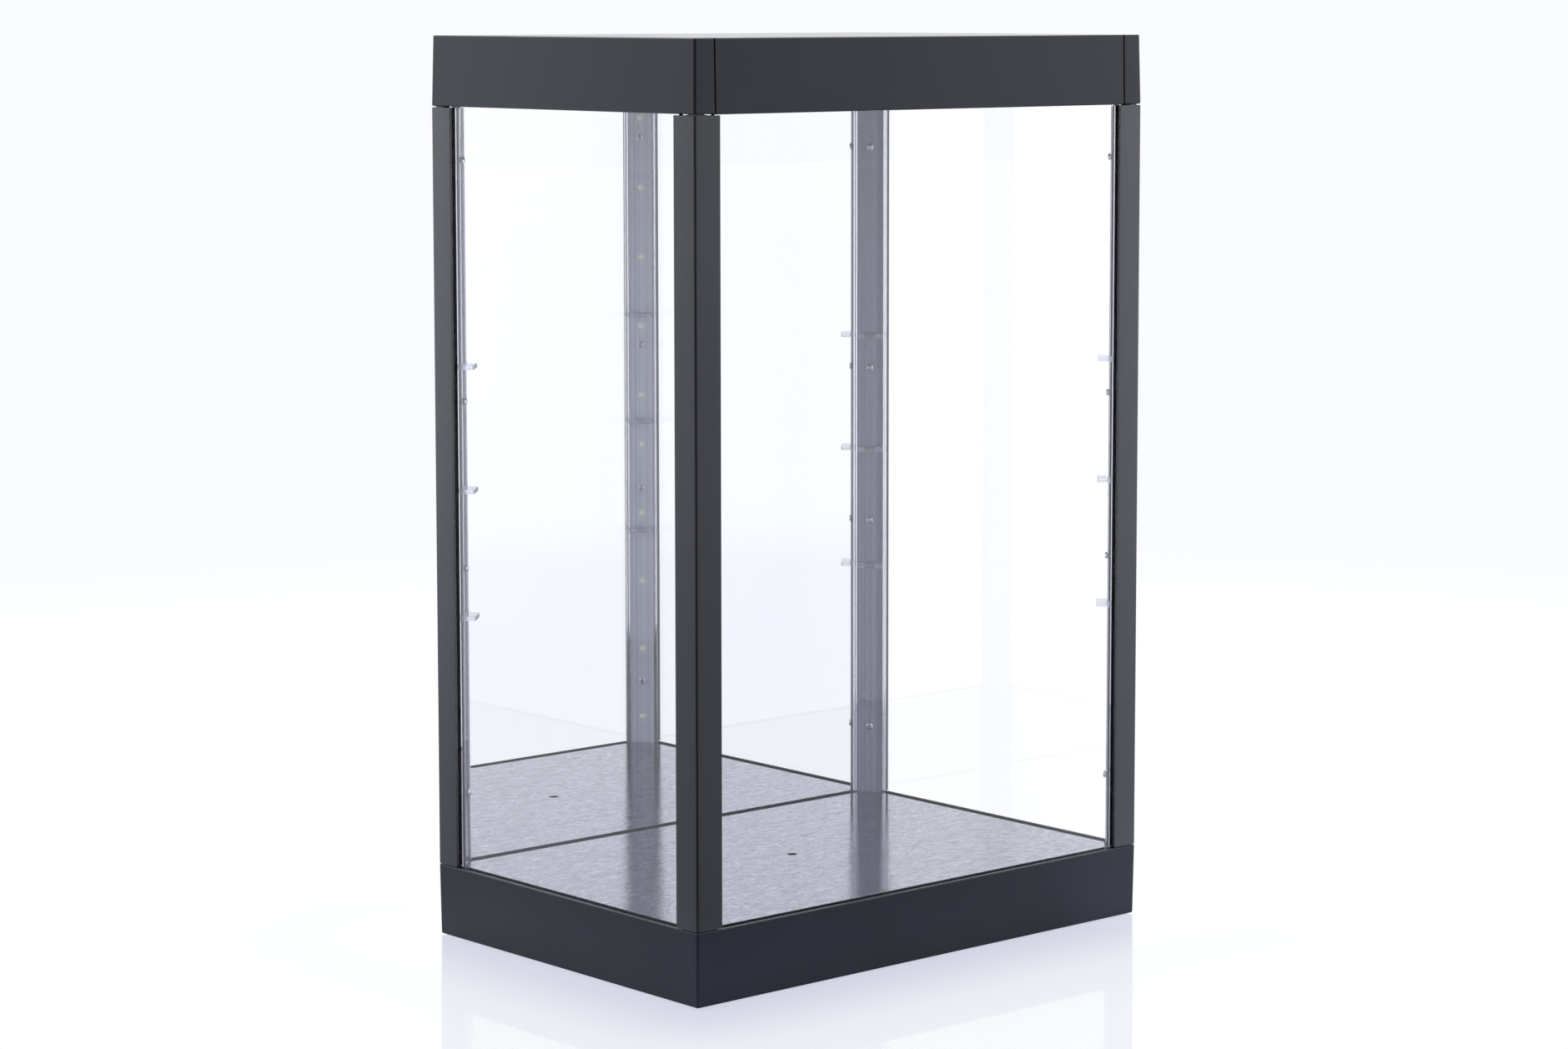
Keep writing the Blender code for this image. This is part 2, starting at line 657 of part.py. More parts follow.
def wire(name, side, corner):
    hole_x, hole_y = corner_point(corner, WIRE_HOLE_DEPTH)
    pad_x, pad_y = corner_point(corner, TROUGH_DEPTH + CLEARANCE + STRIP_THICKNESS + CLEARANCE + WIRE_RADIUS)
    header_x = side * HEADER_SPACING / 2
    header_z = board_top + HEADER_HEIGHT / 2
    wall_x = side * (HALF_WIDTH - WIRE_SIDE_GAP)
    front_y = header_front - CLEARANCE - WIRE_RADIUS
    strip_low = LOWEST_LED - STRIP_END_MARGIN
    route = [
        (header_x, front_y, header_z),
        (header_x + side * HEADER_SPACING / 4, front_y - WIRE_BEND / 2, WIRE_RUN_HEIGHT),
        (wall_x - side * WIRE_BEND, front_y - WIRE_BEND, WIRE_RUN_HEIGHT),
        (wall_x, front_y - WIRE_BEND - WIRE_BEND, WIRE_RUN_HEIGHT),
        (wall_x, hole_y + WIRE_BEND, WIRE_RUN_HEIGHT),
        (hole_x, hole_y, WIRE_RUN_HEIGHT + WIRE_LIFT),
        (hole_x, hole_y, BLOCK_LOW),
        (hole_x, hole_y, PLINTH_TOP),
        (pad_x, pad_y, strip_low + WIRE_LIFT),
    ]
    curve = bpy.data.curves.new(name, "CURVE")
    curve.dimensions = "3D"
    curve.bevel_depth = WIRE_RADIUS
    curve.bevel_resolution = 1
    curve.use_fill_caps = True
    points = smooth_route(route, WIRE_STEPS)
    spline = curve.splines.new("POLY")
    spline.points.add(len(points) - 1)
    for point, place in zip(spline.points, points):
        point.co = (*place, 1.0)
    drawn = tool_object(curve)
    bpy.context.view_layer.update()
    depsgraph = bpy.context.evaluated_depsgraph_get()
    mesh = bpy.data.meshes.new_from_object(drawn.evaluated_get(depsgraph))
    bpy.data.objects.remove(drawn, do_unlink=True)
    shape = bmesh.new()
    shape.from_mesh(mesh)
    bmesh.ops.remove_doubles(shape, verts=shape.verts, dist=MERGE_DISTANCE)
    bmesh.ops.recalc_face_normals(shape, faces=shape.faces)
    finish(tool_object(mesh_from(shape)), name, WIRE_SLEEVE, smooth=True)


wire("wire_left", -1, "front_left")
wire("wire_right", 1, "front_right")

# Posts
# One extrusion for all four corners. Its legs hide the panels' edges, a lip behind each
# leg makes the panel's groove, and the trough between the lips faces the middle of the case.

post_half = arc((CORNER_RADIUS, CORNER_RADIUS), CORNER_RADIUS, math.pi * 5 / 4, math.pi * 3 / 2, CORNER_STEPS // 2)
post_half += [
    (POST_LEG, 0.0),
    (POST_LEG, SKIN),
    (GROOVE_END, SKIN),
    (GROOVE_END, GROOVE_IN),
    (POST_LEG, GROOVE_IN),
    (POST_LEG, LIP_IN),
    (LIP_IN + TROUGH_HALF_WIDTH * ROOT_TWO, LIP_IN),
    from_diagonal(TROUGH_HALF_WIDTH, TROUGH_DEPTH),
]
post_outline = post_half + [(y, x) for x, y in reversed(post_half[1:])]
post = prism(post_outline, POST_LOW, POST_TOP)
embed = FOOT_SPIGOT_LENGTH / 2
spigot_far = COLLAR_INSET + FOOT_SPIGOT_SIZE
join(post, box(
    (COLLAR_INSET, COLLAR_INSET, PLINTH_TOP - FOOT_SPIGOT_LENGTH), (spigot_far, spigot_far, POST_LOW + embed)))
collar_top = LID_LOW - CLEARANCE
collar_far = COVER_BACK / ROOT_TWO - CLEARANCE
join(post, box((COLLAR_INSET, COLLAR_INSET, POST_TOP - LID_GAP), (collar_far, collar_far, collar_top)))
neck_far = PANEL_OUT + NECK_SIZE
join(post, box((PANEL_OUT, PANEL_OUT, POST_TOP - embed), (neck_far, neck_far, POST_TOP + NECK_HEIGHT)))

# Screw holes run from the trough towards the outer corner
screw_seat = COVER_FACE + CLEARANCE
screw_end = screw_seat - SCREW_LENGTH
hole_depth = screw_end - CLEARANCE
inward = (0.0, math.pi / 2, math.pi / 4)
hole_radius = SCREW_SHANK_RADIUS + CLEARANCE
for height in SCREW_HEIGHTS:
    near = hole_depth / ROOT_TWO
    cut(post, cylinder((near, near, height), hole_radius, COVER_FACE, inward))

first_place, first_turn = corner_place("front_left")
finish(post, "post_front_left", BLACK)
post.location = first_place
for corner in ("front_right", "rear_right", "rear_left"):
    place, turn = corner_place(corner)
    copy_to(post, "post_" + corner, place, turn)

# Clear covers
# A clear strip closes each trough from lip to lip. It stands on the plinth's ledge, its feet
# touch the panels, and it has a slim rail along both edges.

rail_outer_across = (COVER_END - GROOVE_IN) / ROOT_TWO - RAIL_HEIGHT
cover_half = [
    (COVER_START, COVER_BACK * ROOT_TWO - COVER_START),
    (COVER_START, GROOVE_IN),
    (COVER_END, GROOVE_IN),
    from_diagonal(rail_outer_across, COVER_FACE),
    from_diagonal(rail_outer_across - RAIL_WIDTH / 4, COVER_FACE + RAIL_HEIGHT),
    from_diagonal(rail_outer_across - RAIL_WIDTH * 3 / 4, COVER_FACE + RAIL_HEIGHT),
    from_diagonal(rail_outer_across - RAIL_WIDTH, COVER_FACE),
]
cover = prism(mirrored_outline(cover_half), COVER_LOW, COVER_TOP)
for height in SCREW_HEIGHTS:
    cut(cover, cylinder((0.0, 0.0, height), hole_radius, COVER_FACE + OVERRUN, inward))
slot_half_width = TAB_STEM_WIDTH / 2 + CLEARANCE
slot_half_height = TAB_THICKNESS / 2 + CLEARANCE
for height in TAB_HEIGHTS:
    slot = box(
        (0.0, -slot_half_width, height - slot_half_height),
        (COVER_FACE + OVERRUN, slot_half_width, height + slot_half_height))
    slot.rotation_euler = (0.0, 0.0, math.pi / 4)
    cut(cover, slot)
finish(cover, "cover_front_left", CLEAR)
cover.location = first_place
for corner in ("front_right", "rear_right", "rear_left"):
    place, turn = corner_place(corner)
    copy_to(cover, "cover_" + corner, place, turn)

# Shelf tabs
# A small clear bracket plugs into each cover with its stem. Three in each corner carry a
# shelf at one of three heights.

tab_back = COVER_FACE + RAIL_HEIGHT + CLEARANCE
tab_half = TAB_WIDTH / 2
tab_outline = [
    (TAB_STEM_START, -TAB_STEM_WIDTH / 2),
    (tab_back, -TAB_STEM_WIDTH / 2),
    (tab_back, -tab_half),
    (TAB_TIP - TAB_CORNER, -tab_half),
    (TAB_TIP, -tab_half + TAB_CORNER),
    (TAB_TIP, tab_half - TAB_CORNER),
    (TAB_TIP - TAB_CORNER, tab_half),
    (tab_back, tab_half),
    (tab_back, TAB_STEM_WIDTH / 2),
    (TAB_STEM_START, TAB_STEM_WIDTH / 2),
]
tab = finish(prism(tab_outline, -TAB_THICKNESS / 2, TAB_THICKNESS / 2), "tab_front_left_1", CLEAR)
for corner in CORNERS:
    place, turn = corner_place(corner)
    tab_turn = (0.0, 0.0, turn[2] + math.pi / 4)
    for index, height in enumerate(TAB_HEIGHTS):
        tab_place = (place[0], place[1], height)
        name = "tab_" + corner + "_" + str(index + 1)
        if name == tab.name:
            tab.location = tab_place
            tab.rotation_euler = tab_turn
        else:
            copy_to(tab, name, tab_place, tab_turn)

# Cover screws
# A turned pan-head screw with a cross recess, four to each cover, driven towards the corner.

profile = bpy.data.meshes.new("screw_profile")
screw_points = [
    (0.0, 0.0, SCREW_HEAD_HEIGHT),
    (SCREW_HEAD_RADIUS - SCREW_HEAD_CROWN, 0.0, SCREW_HEAD_HEIGHT),
    (SCREW_HEAD_RADIUS, 0.0, SCREW_HEAD_HEIGHT - SCREW_HEAD_CROWN),
    (SCREW_HEAD_RADIUS, 0.0, 0.0),
    (SCREW_SHANK_RADIUS, 0.0, 0.0),
    (SCREW_SHANK_RADIUS, 0.0, SCREW_TIP - SCREW_LENGTH),
    (0.0, 0.0, -SCREW_LENGTH),
]
profile.from_pydata(screw_points, [(i, i + 1) for i in range(len(screw_points) - 1)], [])
screw = tool_object(profile)
lathe = screw.modifiers.new("lathe", "SCREW")
lathe.steps = ROUND_STEPS
lathe.render_steps = ROUND_STEPS
lathe.use_merge_vertices = True
lathe.merge_threshold = MERGE_DISTANCE
settle(screw)
for length_x, length_y in ((SCREW_CROSS_LENGTH, SCREW_CROSS_WIDTH), (SCREW_CROSS_WIDTH, SCREW_CROSS_LENGTH)):
    cut(screw, box(
        (-length_x / 2, -length_y / 2, SCREW_HEAD_HEIGHT - SCREW_CROSS_DEPTH),
        (length_x / 2, length_y / 2, SCREW_HEAD_HEIGHT + OVERRUN)))
finish(screw, "screw_front_left_1", STEEL, smooth=True)
for corner in CORNERS:
    side_x, side_y, turn = CORNERS[corner]
    screw_x, screw_y = corner_point(corner, screw_seat)
    screw_turn = (0.0, math.pi / 2, turn + math.pi / 4)
    for index, height in enumerate(SCREW_HEIGHTS):
        name = "screw_" + corner + "_" + str(index + 1)
        if name == screw.name:
            screw.location = (screw_x, screw_y, height)
            screw.rotation_euler = screw_turn
        else:
            copy_to(screw, name, (screw_x, screw_y, height), screw_turn)

# Light strips
# Two white boards end to end in each front post, five lamps on each, held by the screws
# that also hold the cover.

strip_back = TROUGH_DEPTH + CLEARANCE
strip_face = strip_back + STRIP_THICKNESS
lamp_face = strip_face + LED_THICKNESS


def light_strip(first_lamp, low, high):
    """A board in the corner's diagonal frame: X out of the corner, Y across."""
    strip = box((strip_back, -STRIP_WIDTH / 2, low), (strip_face, STRIP_WIDTH / 2, high))
    for index in range(LEDS_PER_STRIP):
        lamp_z = first_lamp + index * LED_PITCH
        join(strip, box(
            (strip_face - STRIP_THICKNESS / 2, -LED_WIDTH / 2, lamp_z - LED_HEIGHT / 2),
            (lamp_face, LED_WIDTH / 2, lamp_z + LED_HEIGHT / 2)))
    for height in SCREW_HEIGHTS:
        if low < height < high:
            cut(strip, cylinder((0.0, 0.0, height), hole_radius, COVER_FACE, (0.0, math.pi / 2, 0.0)))
    return strip


lower_low = LOWEST_LED - STRIP_END_MARGIN
lower_high = LOWEST_LED + STRIP_SPAN + STRIP_JOINT_MARGIN
upper_low = lower_high + CLEARANCE
upper_first = upper_low + STRIP_JOINT_MARGIN
upper_high = upper_first + STRIP_SPAN + STRIP_END_MARGIN
place, turn = corner_place("front_left")
other_place, other_turn = corner_place("front_right")
strip_turn = (0.0, 0.0, turn[2] + math.pi / 4)
other_strip_turn = (0.0, 0.0, other_turn[2] + math.pi / 4)
for level, strip in (
        ("lower", light_strip(LOWEST_LED, lower_low, lower_high)),
        ("upper", light_strip(upper_first, upper_low, upper_high))):
    finish(strip, "light_strip_left_" + level, WHITE_BOARD)
    strip.location = place
    strip.rotation_euler = strip_turn
    copy_to(strip, "light_strip_right_" + level, other_place, other_strip_turn)

# Panels
# Clear sheets stand in the side grooves, a mirrored sheet in the back one. The door's sheet
# runs in the front grooves and reaches up into its fascia.

side_reach = HALF_DEPTH - PANEL_END
wide_reach = HALF_WIDTH - PANEL_END
outer_x = HALF_WIDTH - PANEL_OUT
inner_x = HALF_WIDTH - PANEL_IN
outer_y = HALF_DEPTH - PANEL_OUT
inner_y = HALF_DEPTH - PANEL_IN
door_top = CASE_HEIGHT - FASCIA_TOP_THICKNESS - CLEARANCE
finish(box((-outer_x, -side_reach, PANEL_LOW), (-inner_x, side_reach, PANEL_TOP)), "left_panel", CLEAR)
finish(box((inner_x, -side_reach, PANEL_LOW), (outer_x, side_reach, PANEL_TOP)), "right_panel", CLEAR)
finish(box((-wide_reach, inner_y, PANEL_LOW), (wide_reach, outer_y, PANEL_TOP)), "back_mirror", MIRROR)
finish(box((-wide_reach, -outer_y, PANEL_LOW), (wide_reach, -inner_y, door_top)), "door_panel", CLEAR)

# Door fascia
# The strip of the lid's front that is lifted with the door. It grips the sheet's top edge.

fascia = drafted_block(LID_LOW - FASCIA_DROP, CASE_HEIGHT, 0.0, LID_DRAFT)
fascia_reach = HALF_WIDTH - GROOVE_END
combine(fascia, box(
    (-fascia_reach, -HALF_DEPTH - OVERRUN, LID_LOW - OVERRUN),
    (fascia_reach, -HALF_DEPTH + FASCIA_IN, CASE_HEIGHT + OVERRUN)), "INTERSECT")
cut(fascia, box(
    (-HALF_WIDTH, -HALF_DEPTH + SKIN, LID_LOW - OVERRUN),
    (HALF_WIDTH, -HALF_DEPTH + GROOVE_IN, CASE_HEIGHT - FASCIA_TOP_THICKNESS)))
finish(fascia, "door_fascia", BLACK)

# Lid shell
# A hollow cover that sits on the posts' necks. Its front is cut away between the two
# cheeks so that the door can rise past it.

lid_shell = drafted_block(LID_LOW, CASE_HEIGHT, 0.0, LID_DRAFT)
lid_ceiling = CASE_HEIGHT - SKIN
notch_reach = HALF_WIDTH - NOTCH_END
cut(lid_shell, box(
    (-notch_reach, -HALF_DEPTH - OVERRUN, LID_LOW - OVERRUN),
    (notch_reach, -HALF_DEPTH + NOTCH_IN, CASE_HEIGHT + OVERRUN)))
room_x = HALF_WIDTH - SKIN
room_back = HALF_DEPTH - SKIN
room_front = -HALF_DEPTH + LID_FRONT_IN
cheek_x = HALF_WIDTH - CHEEK_IN
cheek_y = -HALF_DEPTH + SKIN
room_outline = [
    (-room_x, cheek_y), (-cheek_x, cheek_y), (-cheek_x, room_front), (cheek_x, room_front),
    (cheek_x, cheek_y), (room_x, cheek_y), (room_x, room_back), (-room_x, room_back),
]
cut(lid_shell, prism(room_outline, LID_LOW - OVERRUN, lid_ceiling))
liner_low = LID_LOW + LINER_RISE
liner_top = liner_low + LINER_THICKNESS
boss_low = liner_top + CLEARANCE
boss_x = HALF_WIDTH - LID_BOSS_INSET
boss_y = HALF_DEPTH - LID_BOSS_INSET
for x in (-boss_x, boss_x):
    for y in (-boss_y, boss_y):
        join(lid_shell, cylinder((x, y, boss_low), LID_BOSS_RADIUS, lid_ceiling - boss_low + SKIN / 2))
finish(lid_shell, "lid_shell", BLACK)

# Lid liner
# The flat sheet that closes the lid from below, fixed to its four bosses.

liner_x = HALF_WIDTH - GROOVE_IN
liner_back = HALF_DEPTH - GROOVE_IN
liner_front = room_front + CLEARANCE
liner_notch = PANEL_OUT + NECK_SIZE + CLEARANCE
notch_x = HALF_WIDTH - liner_notch
notch_y = HALF_DEPTH - liner_notch
liner_outline = [
    (-liner_x, liner_front), (liner_x, liner_front), (liner_x, notch_y), (notch_x, notch_y),
    (notch_x, liner_back), (-notch_x, liner_back), (-notch_x, notch_y), (-liner_x, notch_y),
]
finish(prism(liner_outline, liner_low, liner_top), "lid_liner", BLACK)
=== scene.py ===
import math

import bmesh
import bpy
from mathutils import Matrix, Vector


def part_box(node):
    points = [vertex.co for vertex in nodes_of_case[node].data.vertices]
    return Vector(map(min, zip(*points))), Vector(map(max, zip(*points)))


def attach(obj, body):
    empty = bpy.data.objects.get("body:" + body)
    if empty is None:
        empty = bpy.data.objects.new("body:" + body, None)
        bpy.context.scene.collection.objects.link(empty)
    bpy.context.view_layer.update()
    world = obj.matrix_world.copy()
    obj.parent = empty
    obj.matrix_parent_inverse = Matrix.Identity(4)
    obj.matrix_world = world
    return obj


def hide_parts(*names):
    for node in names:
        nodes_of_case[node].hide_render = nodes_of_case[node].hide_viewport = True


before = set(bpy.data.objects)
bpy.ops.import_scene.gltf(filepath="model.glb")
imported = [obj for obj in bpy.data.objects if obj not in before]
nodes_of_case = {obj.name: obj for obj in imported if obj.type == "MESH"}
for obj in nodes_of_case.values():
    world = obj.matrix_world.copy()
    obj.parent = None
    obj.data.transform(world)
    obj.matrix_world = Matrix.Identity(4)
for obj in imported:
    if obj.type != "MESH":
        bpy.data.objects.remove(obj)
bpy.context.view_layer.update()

# A display case for figures, dressed in the order in which it is put together: plinth and
# circuit, floor, posts, light strips, covers, screws, tabs, sheets, mirror and lid.
# Everything is in metres, +Z up, with the front towards -Y.

HALF_WIDTH = 0.127
HALF_DEPTH = 0.0875

# Camera
# It stands in front of the left front corner, slightly above the lid, and looks a little
# down. Its frame is shifted down as far as the picture's framing needs.

IMAGE_WIDTH = 1880
FOCAL_PIXELS = 4691.2
SENSOR_WIDTH = 36.0
CAMERA_PLACE = (-1.11697, -1.27038, 0.40369)
CAMERA_TURN = math.radians(41.750)
CAMERA_TILT = math.radians(6.062)
CENTRE_RIGHT_PIXELS = 42.6
CENTRE_DOWN_PIXELS = -127.3


def new_object(name, data):
    """An object that stands in the scene."""
    made = bpy.data.objects.new(name, data)
    bpy.context.scene.collection.objects.link(made)
    return made


camera_data = bpy.data.cameras.new("camera")
camera_data.sensor_width = SENSOR_WIDTH
camera_data.lens = FOCAL_PIXELS / IMAGE_WIDTH * SENSOR_WIDTH
camera_data.shift_x = -CENTRE_RIGHT_PIXELS / IMAGE_WIDTH
camera_data.shift_y = CENTRE_DOWN_PIXELS / IMAGE_WIDTH
camera = new_object("camera", camera_data)
camera.location = CAMERA_PLACE
camera.rotation_euler = (math.pi / 2 - CAMERA_TILT, 0.0, -CAMERA_TURN)
bpy.context.scene.camera = camera
bpy.context.scene.view_settings.view_transform = "Standard"

# Studio
# A polished white table in a white room, dimmer on the side where the camera stands. What
# the eye sees of table and room is white, and what lights the case is at a plain level.

TABLE_SIZE = 6.0
TABLE_WHITE = (0.62, 0.64, 0.74)
TABLE_GLOW = (0.700, 0.715, 0.840, 1.0)
TABLE_POLISH = (0.238, 0.232, 0.145, 1.0)
TABLE_ROUGHNESS = 0.20
TABLE_INDEX = 1.45
POLISH_ROUGHNESS = 0.03

# How the table changes with the distance from the case
TABLE_SHADED_SHARE = 0.16
TABLE_SHADED_REACH = 0.14
TABLE_CLEAR_SHARES = (0.10, 0.68)
TABLE_CLEAR_REACH = 0.06
TABLE_WHITE_REACH = (0.25, 1.2)
TABLE_NEAR_REACH = (0.03, 0.16)
TABLE_MIDDLE_GAIN = 0.80
TABLE_MIDDLE_REACH = (0.05, 0.25)
TABLE_FAR_GAIN = 1.75
TABLE_FAR_REACH = (0.5, 3.0)

# The room as the eye, the light, mirrored rays and rays through clear pieces meet it
ROOM_SEEN = (0.960, 0.970, 1.0, 1.0)
ROOM_LIGHT = (0.97, 0.98, 1.0, 1.0)
ROOM_LIGHT_STRENGTH = 0.90
ROOM_GLOSS_STRENGTH = 1.12
ROOM_THROUGH_STRENGTH = 1.08
TABLE_THROUGH_STRENGTH = 1.11

# Sides of the room, with their levels and the directions where these begin and end
ROOM_SIDE = (-0.7536, -0.6574, 0.0)
ROOM_SIDE_GAIN = (1.55, 0.58)
ROOM_SIDE_REACH = (-0.13, 0.01)
CAMERA_SIDE = (-0.673, -0.740, 0.0)
CAMERA_SIDE_GAIN = (1.0, 0.05)
CAMERA_SIDE_REACH = (0.70, 0.92)
LAMP_PLACE = (-0.9, 0.5, 2.2)
LAMP_SIZE = 1.6
LAMP_WATTS = 8.0


def add_node(tree, kind, settings=None, **properties):
    """A node with its properties and its inputs' values set."""
    node = tree.nodes.new(kind)
    for key, value in properties.items():
        setattr(node, key, value)
    for key, value in (settings or {}).items():
        node.inputs[key].default_value = value
    return node


def feed(tree, sockets, values):
    """Fills a row of inputs; each value is a constant or an output to link."""
    for socket, value in zip(sockets, values):
        if isinstance(value, bpy.types.NodeSocket):
            tree.links.new(value, socket)
        else:
            socket.default_value = value


def math_node(tree, operation, *values):
    """The result of a Math node."""
    node = add_node(tree, "ShaderNodeMath", operation=operation)
    feed(tree, node.inputs, values)
    return node.outputs[0]


def vector_node(tree, operation, *values):
    """The result of a Vector Math node: a number for a length or a product, else a vector."""
    node = add_node(tree, "ShaderNodeVectorMath", operation=operation)
    feed(tree, node.inputs, values)
    return node.outputs["Value" if operation in ("DOT_PRODUCT", "LENGTH") else "Vector"]


def spread(tree, value, low, high, start=0.0, end=1.0, smooth=False):
    """A value of the surface moved into a range of its own."""
    node = add_node(
        tree, "ShaderNodeMapRange",
        {"From Min": start, "From Max": end, "To Min": low, "To Max": high})
    if smooth:
        node.interpolation_type = "SMOOTHSTEP"
    tree.links.new(value, node.inputs["Value"])
    return node.outputs["Result"]


def mix_shaders(tree, factor, first, second):
    """A shader between two."""
    mix = add_node(tree, "ShaderNodeMixShader")
    feed(tree, mix.inputs, (factor, first, second))
    return mix.outputs["Shader"]


def facing(tree, direction, side, *levels):
    """How far a direction points to one side of the room, moved into a range of levels."""
    product = vector_node(tree, "DOT_PRODUCT", vector_node(tree, "NORMALIZE", direction), side)
    return spread(tree, product, *levels, smooth=True)


def facing_camera_side(tree, direction):
    """The dimming of the gloss in the half of the room where the camera stands."""
    return math_node(
        tree, "MULTIPLY",
        facing(tree, direction, ROOM_SIDE, *ROOM_SIDE_GAIN, *ROOM_SIDE_REACH),
        facing(tree, direction, CAMERA_SIDE, *CAMERA_SIDE_GAIN, *CAMERA_SIDE_REACH))


def seen_by_eye(tree, rays):
    """One for the camera's own rays and for those that come through a clear piece."""
    return math_node(
        tree, "MAXIMUM", rays.outputs["Is Camera Ray"], rays.outputs["Is Transmission Ray"])


def through_gain(tree, rays, strength):
    """One, or the given strength for rays that come through a clear piece."""
    return spread(tree, rays.outputs["Is Transmission Ray"], 1.0, strength)


def new_look(name):
    """A material, its node tree and its shader."""
    look = bpy.data.materials.new(name)
    look.use_nodes = True
    return look, look.node_tree, look.node_tree.nodes["Principled BSDF"]


world = bpy.data.worlds.new("white_room")
world.use_nodes = True
bpy.context.scene.world = world
room = world.node_tree
room.nodes.clear()
room_rays = add_node(room, "ShaderNodeLightPath")
room_way = add_node(room, "ShaderNodeTexCoord")
room_lit = add_node(
    room, "ShaderNodeBackground", {"Color": ROOM_LIGHT, "Strength": ROOM_LIGHT_STRENGTH})
room_gloss = add_node(room, "ShaderNodeBackground", {"Color": ROOM_SEEN})
room_seen = add_node(room, "ShaderNodeBackground", {"Color": ROOM_SEEN})
room_output = add_node(room, "ShaderNodeOutputWorld")
room_dim = facing_camera_side(room, room_way.outputs["Generated"])
room.links.new(
    math_node(room, "MULTIPLY", room_dim, ROOM_GLOSS_STRENGTH), room_gloss.inputs["Strength"])
room.links.new(
    through_gain(room, room_rays, ROOM_THROUGH_STRENGTH), room_seen.inputs["Strength"])
room_unseen = mix_shaders(
    room, room_rays.outputs["Is Glossy Ray"], room_lit.outputs[0], room_gloss.outputs[0])
room.links.new(
    mix_shaders(room, seen_by_eye(room, room_rays), room_unseen, room_seen.outputs[0]),
    room_output.inputs["Surface"])

# The table is plain glossy white for light and for what the case mirrors, dimmer towards the
# camera. The eye sees it bright, polished like glass, with a share of the case's shadow.
table_look, table_tree, table_plain = new_look("white_table")
table_plain.inputs["Roughness"].default_value = TABLE_ROUGHNESS
table_plain.inputs["IOR"].default_value = TABLE_INDEX
table_rays = add_node(table_tree, "ShaderNodeLightPath")
table_way = add_node(table_tree, "ShaderNodeTexCoord").outputs["Object"]
table_beyond = vector_node(
    table_tree, "SUBTRACT", vector_node(table_tree, "ABSOLUTE", table_way),
    (HALF_WIDTH, HALF_DEPTH, 0.0))
table_gap = vector_node(
    table_tree, "LENGTH", vector_node(table_tree, "MAXIMUM", table_beyond, (0.0, 0.0, 0.0)))
table_dim = facing_camera_side(table_tree, table_way)
table_near = spread(table_tree, table_gap, 1.0, 0.0, *TABLE_NEAR_REACH, smooth=True)
table_level = math_node(
    table_tree, "MAXIMUM", math_node(table_tree, "MAXIMUM", table_dim, table_near),
    math_node(table_tree, "SUBTRACT", 1.0, table_rays.outputs["Is Glossy Ray"]))
table_gain = math_node(
    table_tree, "MULTIPLY",
    spread(table_tree, table_gap, 1.0, TABLE_MIDDLE_GAIN, *TABLE_MIDDLE_REACH),
    spread(table_tree, table_gap, 1.0, TABLE_FAR_GAIN, *TABLE_FAR_REACH))
table_tint = add_node(table_tree, "ShaderNodeVectorMath", operation="SCALE")
table_tint.inputs[0].default_value = TABLE_WHITE
table_tree.links.new(
    math_node(table_tree, "MULTIPLY", table_level, table_gain), table_tint.inputs["Scale"])
table_tree.links.new(table_tint.outputs["Vector"], table_plain.inputs["Base Color"])
table_polish = add_node(
    table_tree, "ShaderNodeBsdfAnisotropic",
    {"Color": TABLE_POLISH, "Roughness": POLISH_ROUGHNESS})
table_glow = add_node(table_tree, "ShaderNodeEmission", {"Color": TABLE_GLOW, "Strength": 1.0})
table_white = add_node(table_tree, "ShaderNodeEmission", {"Color": ROOM_SEEN})
table_tree.links.new(
    through_gain(table_tree, table_rays, TABLE_THROUGH_STRENGTH),
    table_white.inputs["Strength"])
table_sum = add_node(table_tree, "ShaderNodeAddShader")
feed(table_tree, table_sum.inputs, (table_polish.outputs[0], table_glow.outputs[0]))
table_clear = math_node(
    table_tree, "MAXIMUM",
    spread(table_tree, table_gap, *TABLE_CLEAR_SHARES, 0.0, TABLE_CLEAR_REACH, smooth=True),
    spread(table_tree, table_gap, 0.0, 1.0, *TABLE_WHITE_REACH, smooth=True))
table_bright = mix_shaders(
    table_tree, table_clear, table_sum.outputs[0], table_white.outputs[0])
table_unshaded = spread(
    table_tree, table_gap, 1.0 - TABLE_SHADED_SHARE, 1.0, 0.0, TABLE_SHADED_REACH, smooth=True)
table_seen = math_node(
    table_tree, "MULTIPLY", seen_by_eye(table_tree, table_rays), table_unshaded)
table_tree.links.new(
    mix_shaders(table_tree, table_seen, table_plain.outputs[0], table_bright),
    table_tree.nodes["Material Output"].inputs["Surface"])
table_mesh = bpy.data.meshes.new("table")
table_mesh.from_pydata(
    [(-TABLE_SIZE, -TABLE_SIZE, 0.0), (TABLE_SIZE, -TABLE_SIZE, 0.0),
     (TABLE_SIZE, TABLE_SIZE, 0.0), (-TABLE_SIZE, TABLE_SIZE, 0.0)], [], [(0, 1, 2, 3)])
table_mesh.materials.append(table_look)
table = new_object("table", table_mesh)

lamp_data = bpy.data.lights.new("broad_lamp", "AREA")
lamp_data.shape = "SQUARE"
lamp_data.size = LAMP_SIZE
lamp_data.energy = LAMP_WATTS
lamp = new_object("broad_lamp", lamp_data)
lamp.location = LAMP_PLACE
lamp.rotation_euler = (-Vector(LAMP_PLACE)).to_track_quat("-Z", "Y").to_euler()

# Plinth, bottom plate and feet
# The plinth is a hollow moulding in black ABS with a satin skin. The plate under it is the
# same plastic, pushed into its rebate, and the feet are rubber pads stuck to the plate.

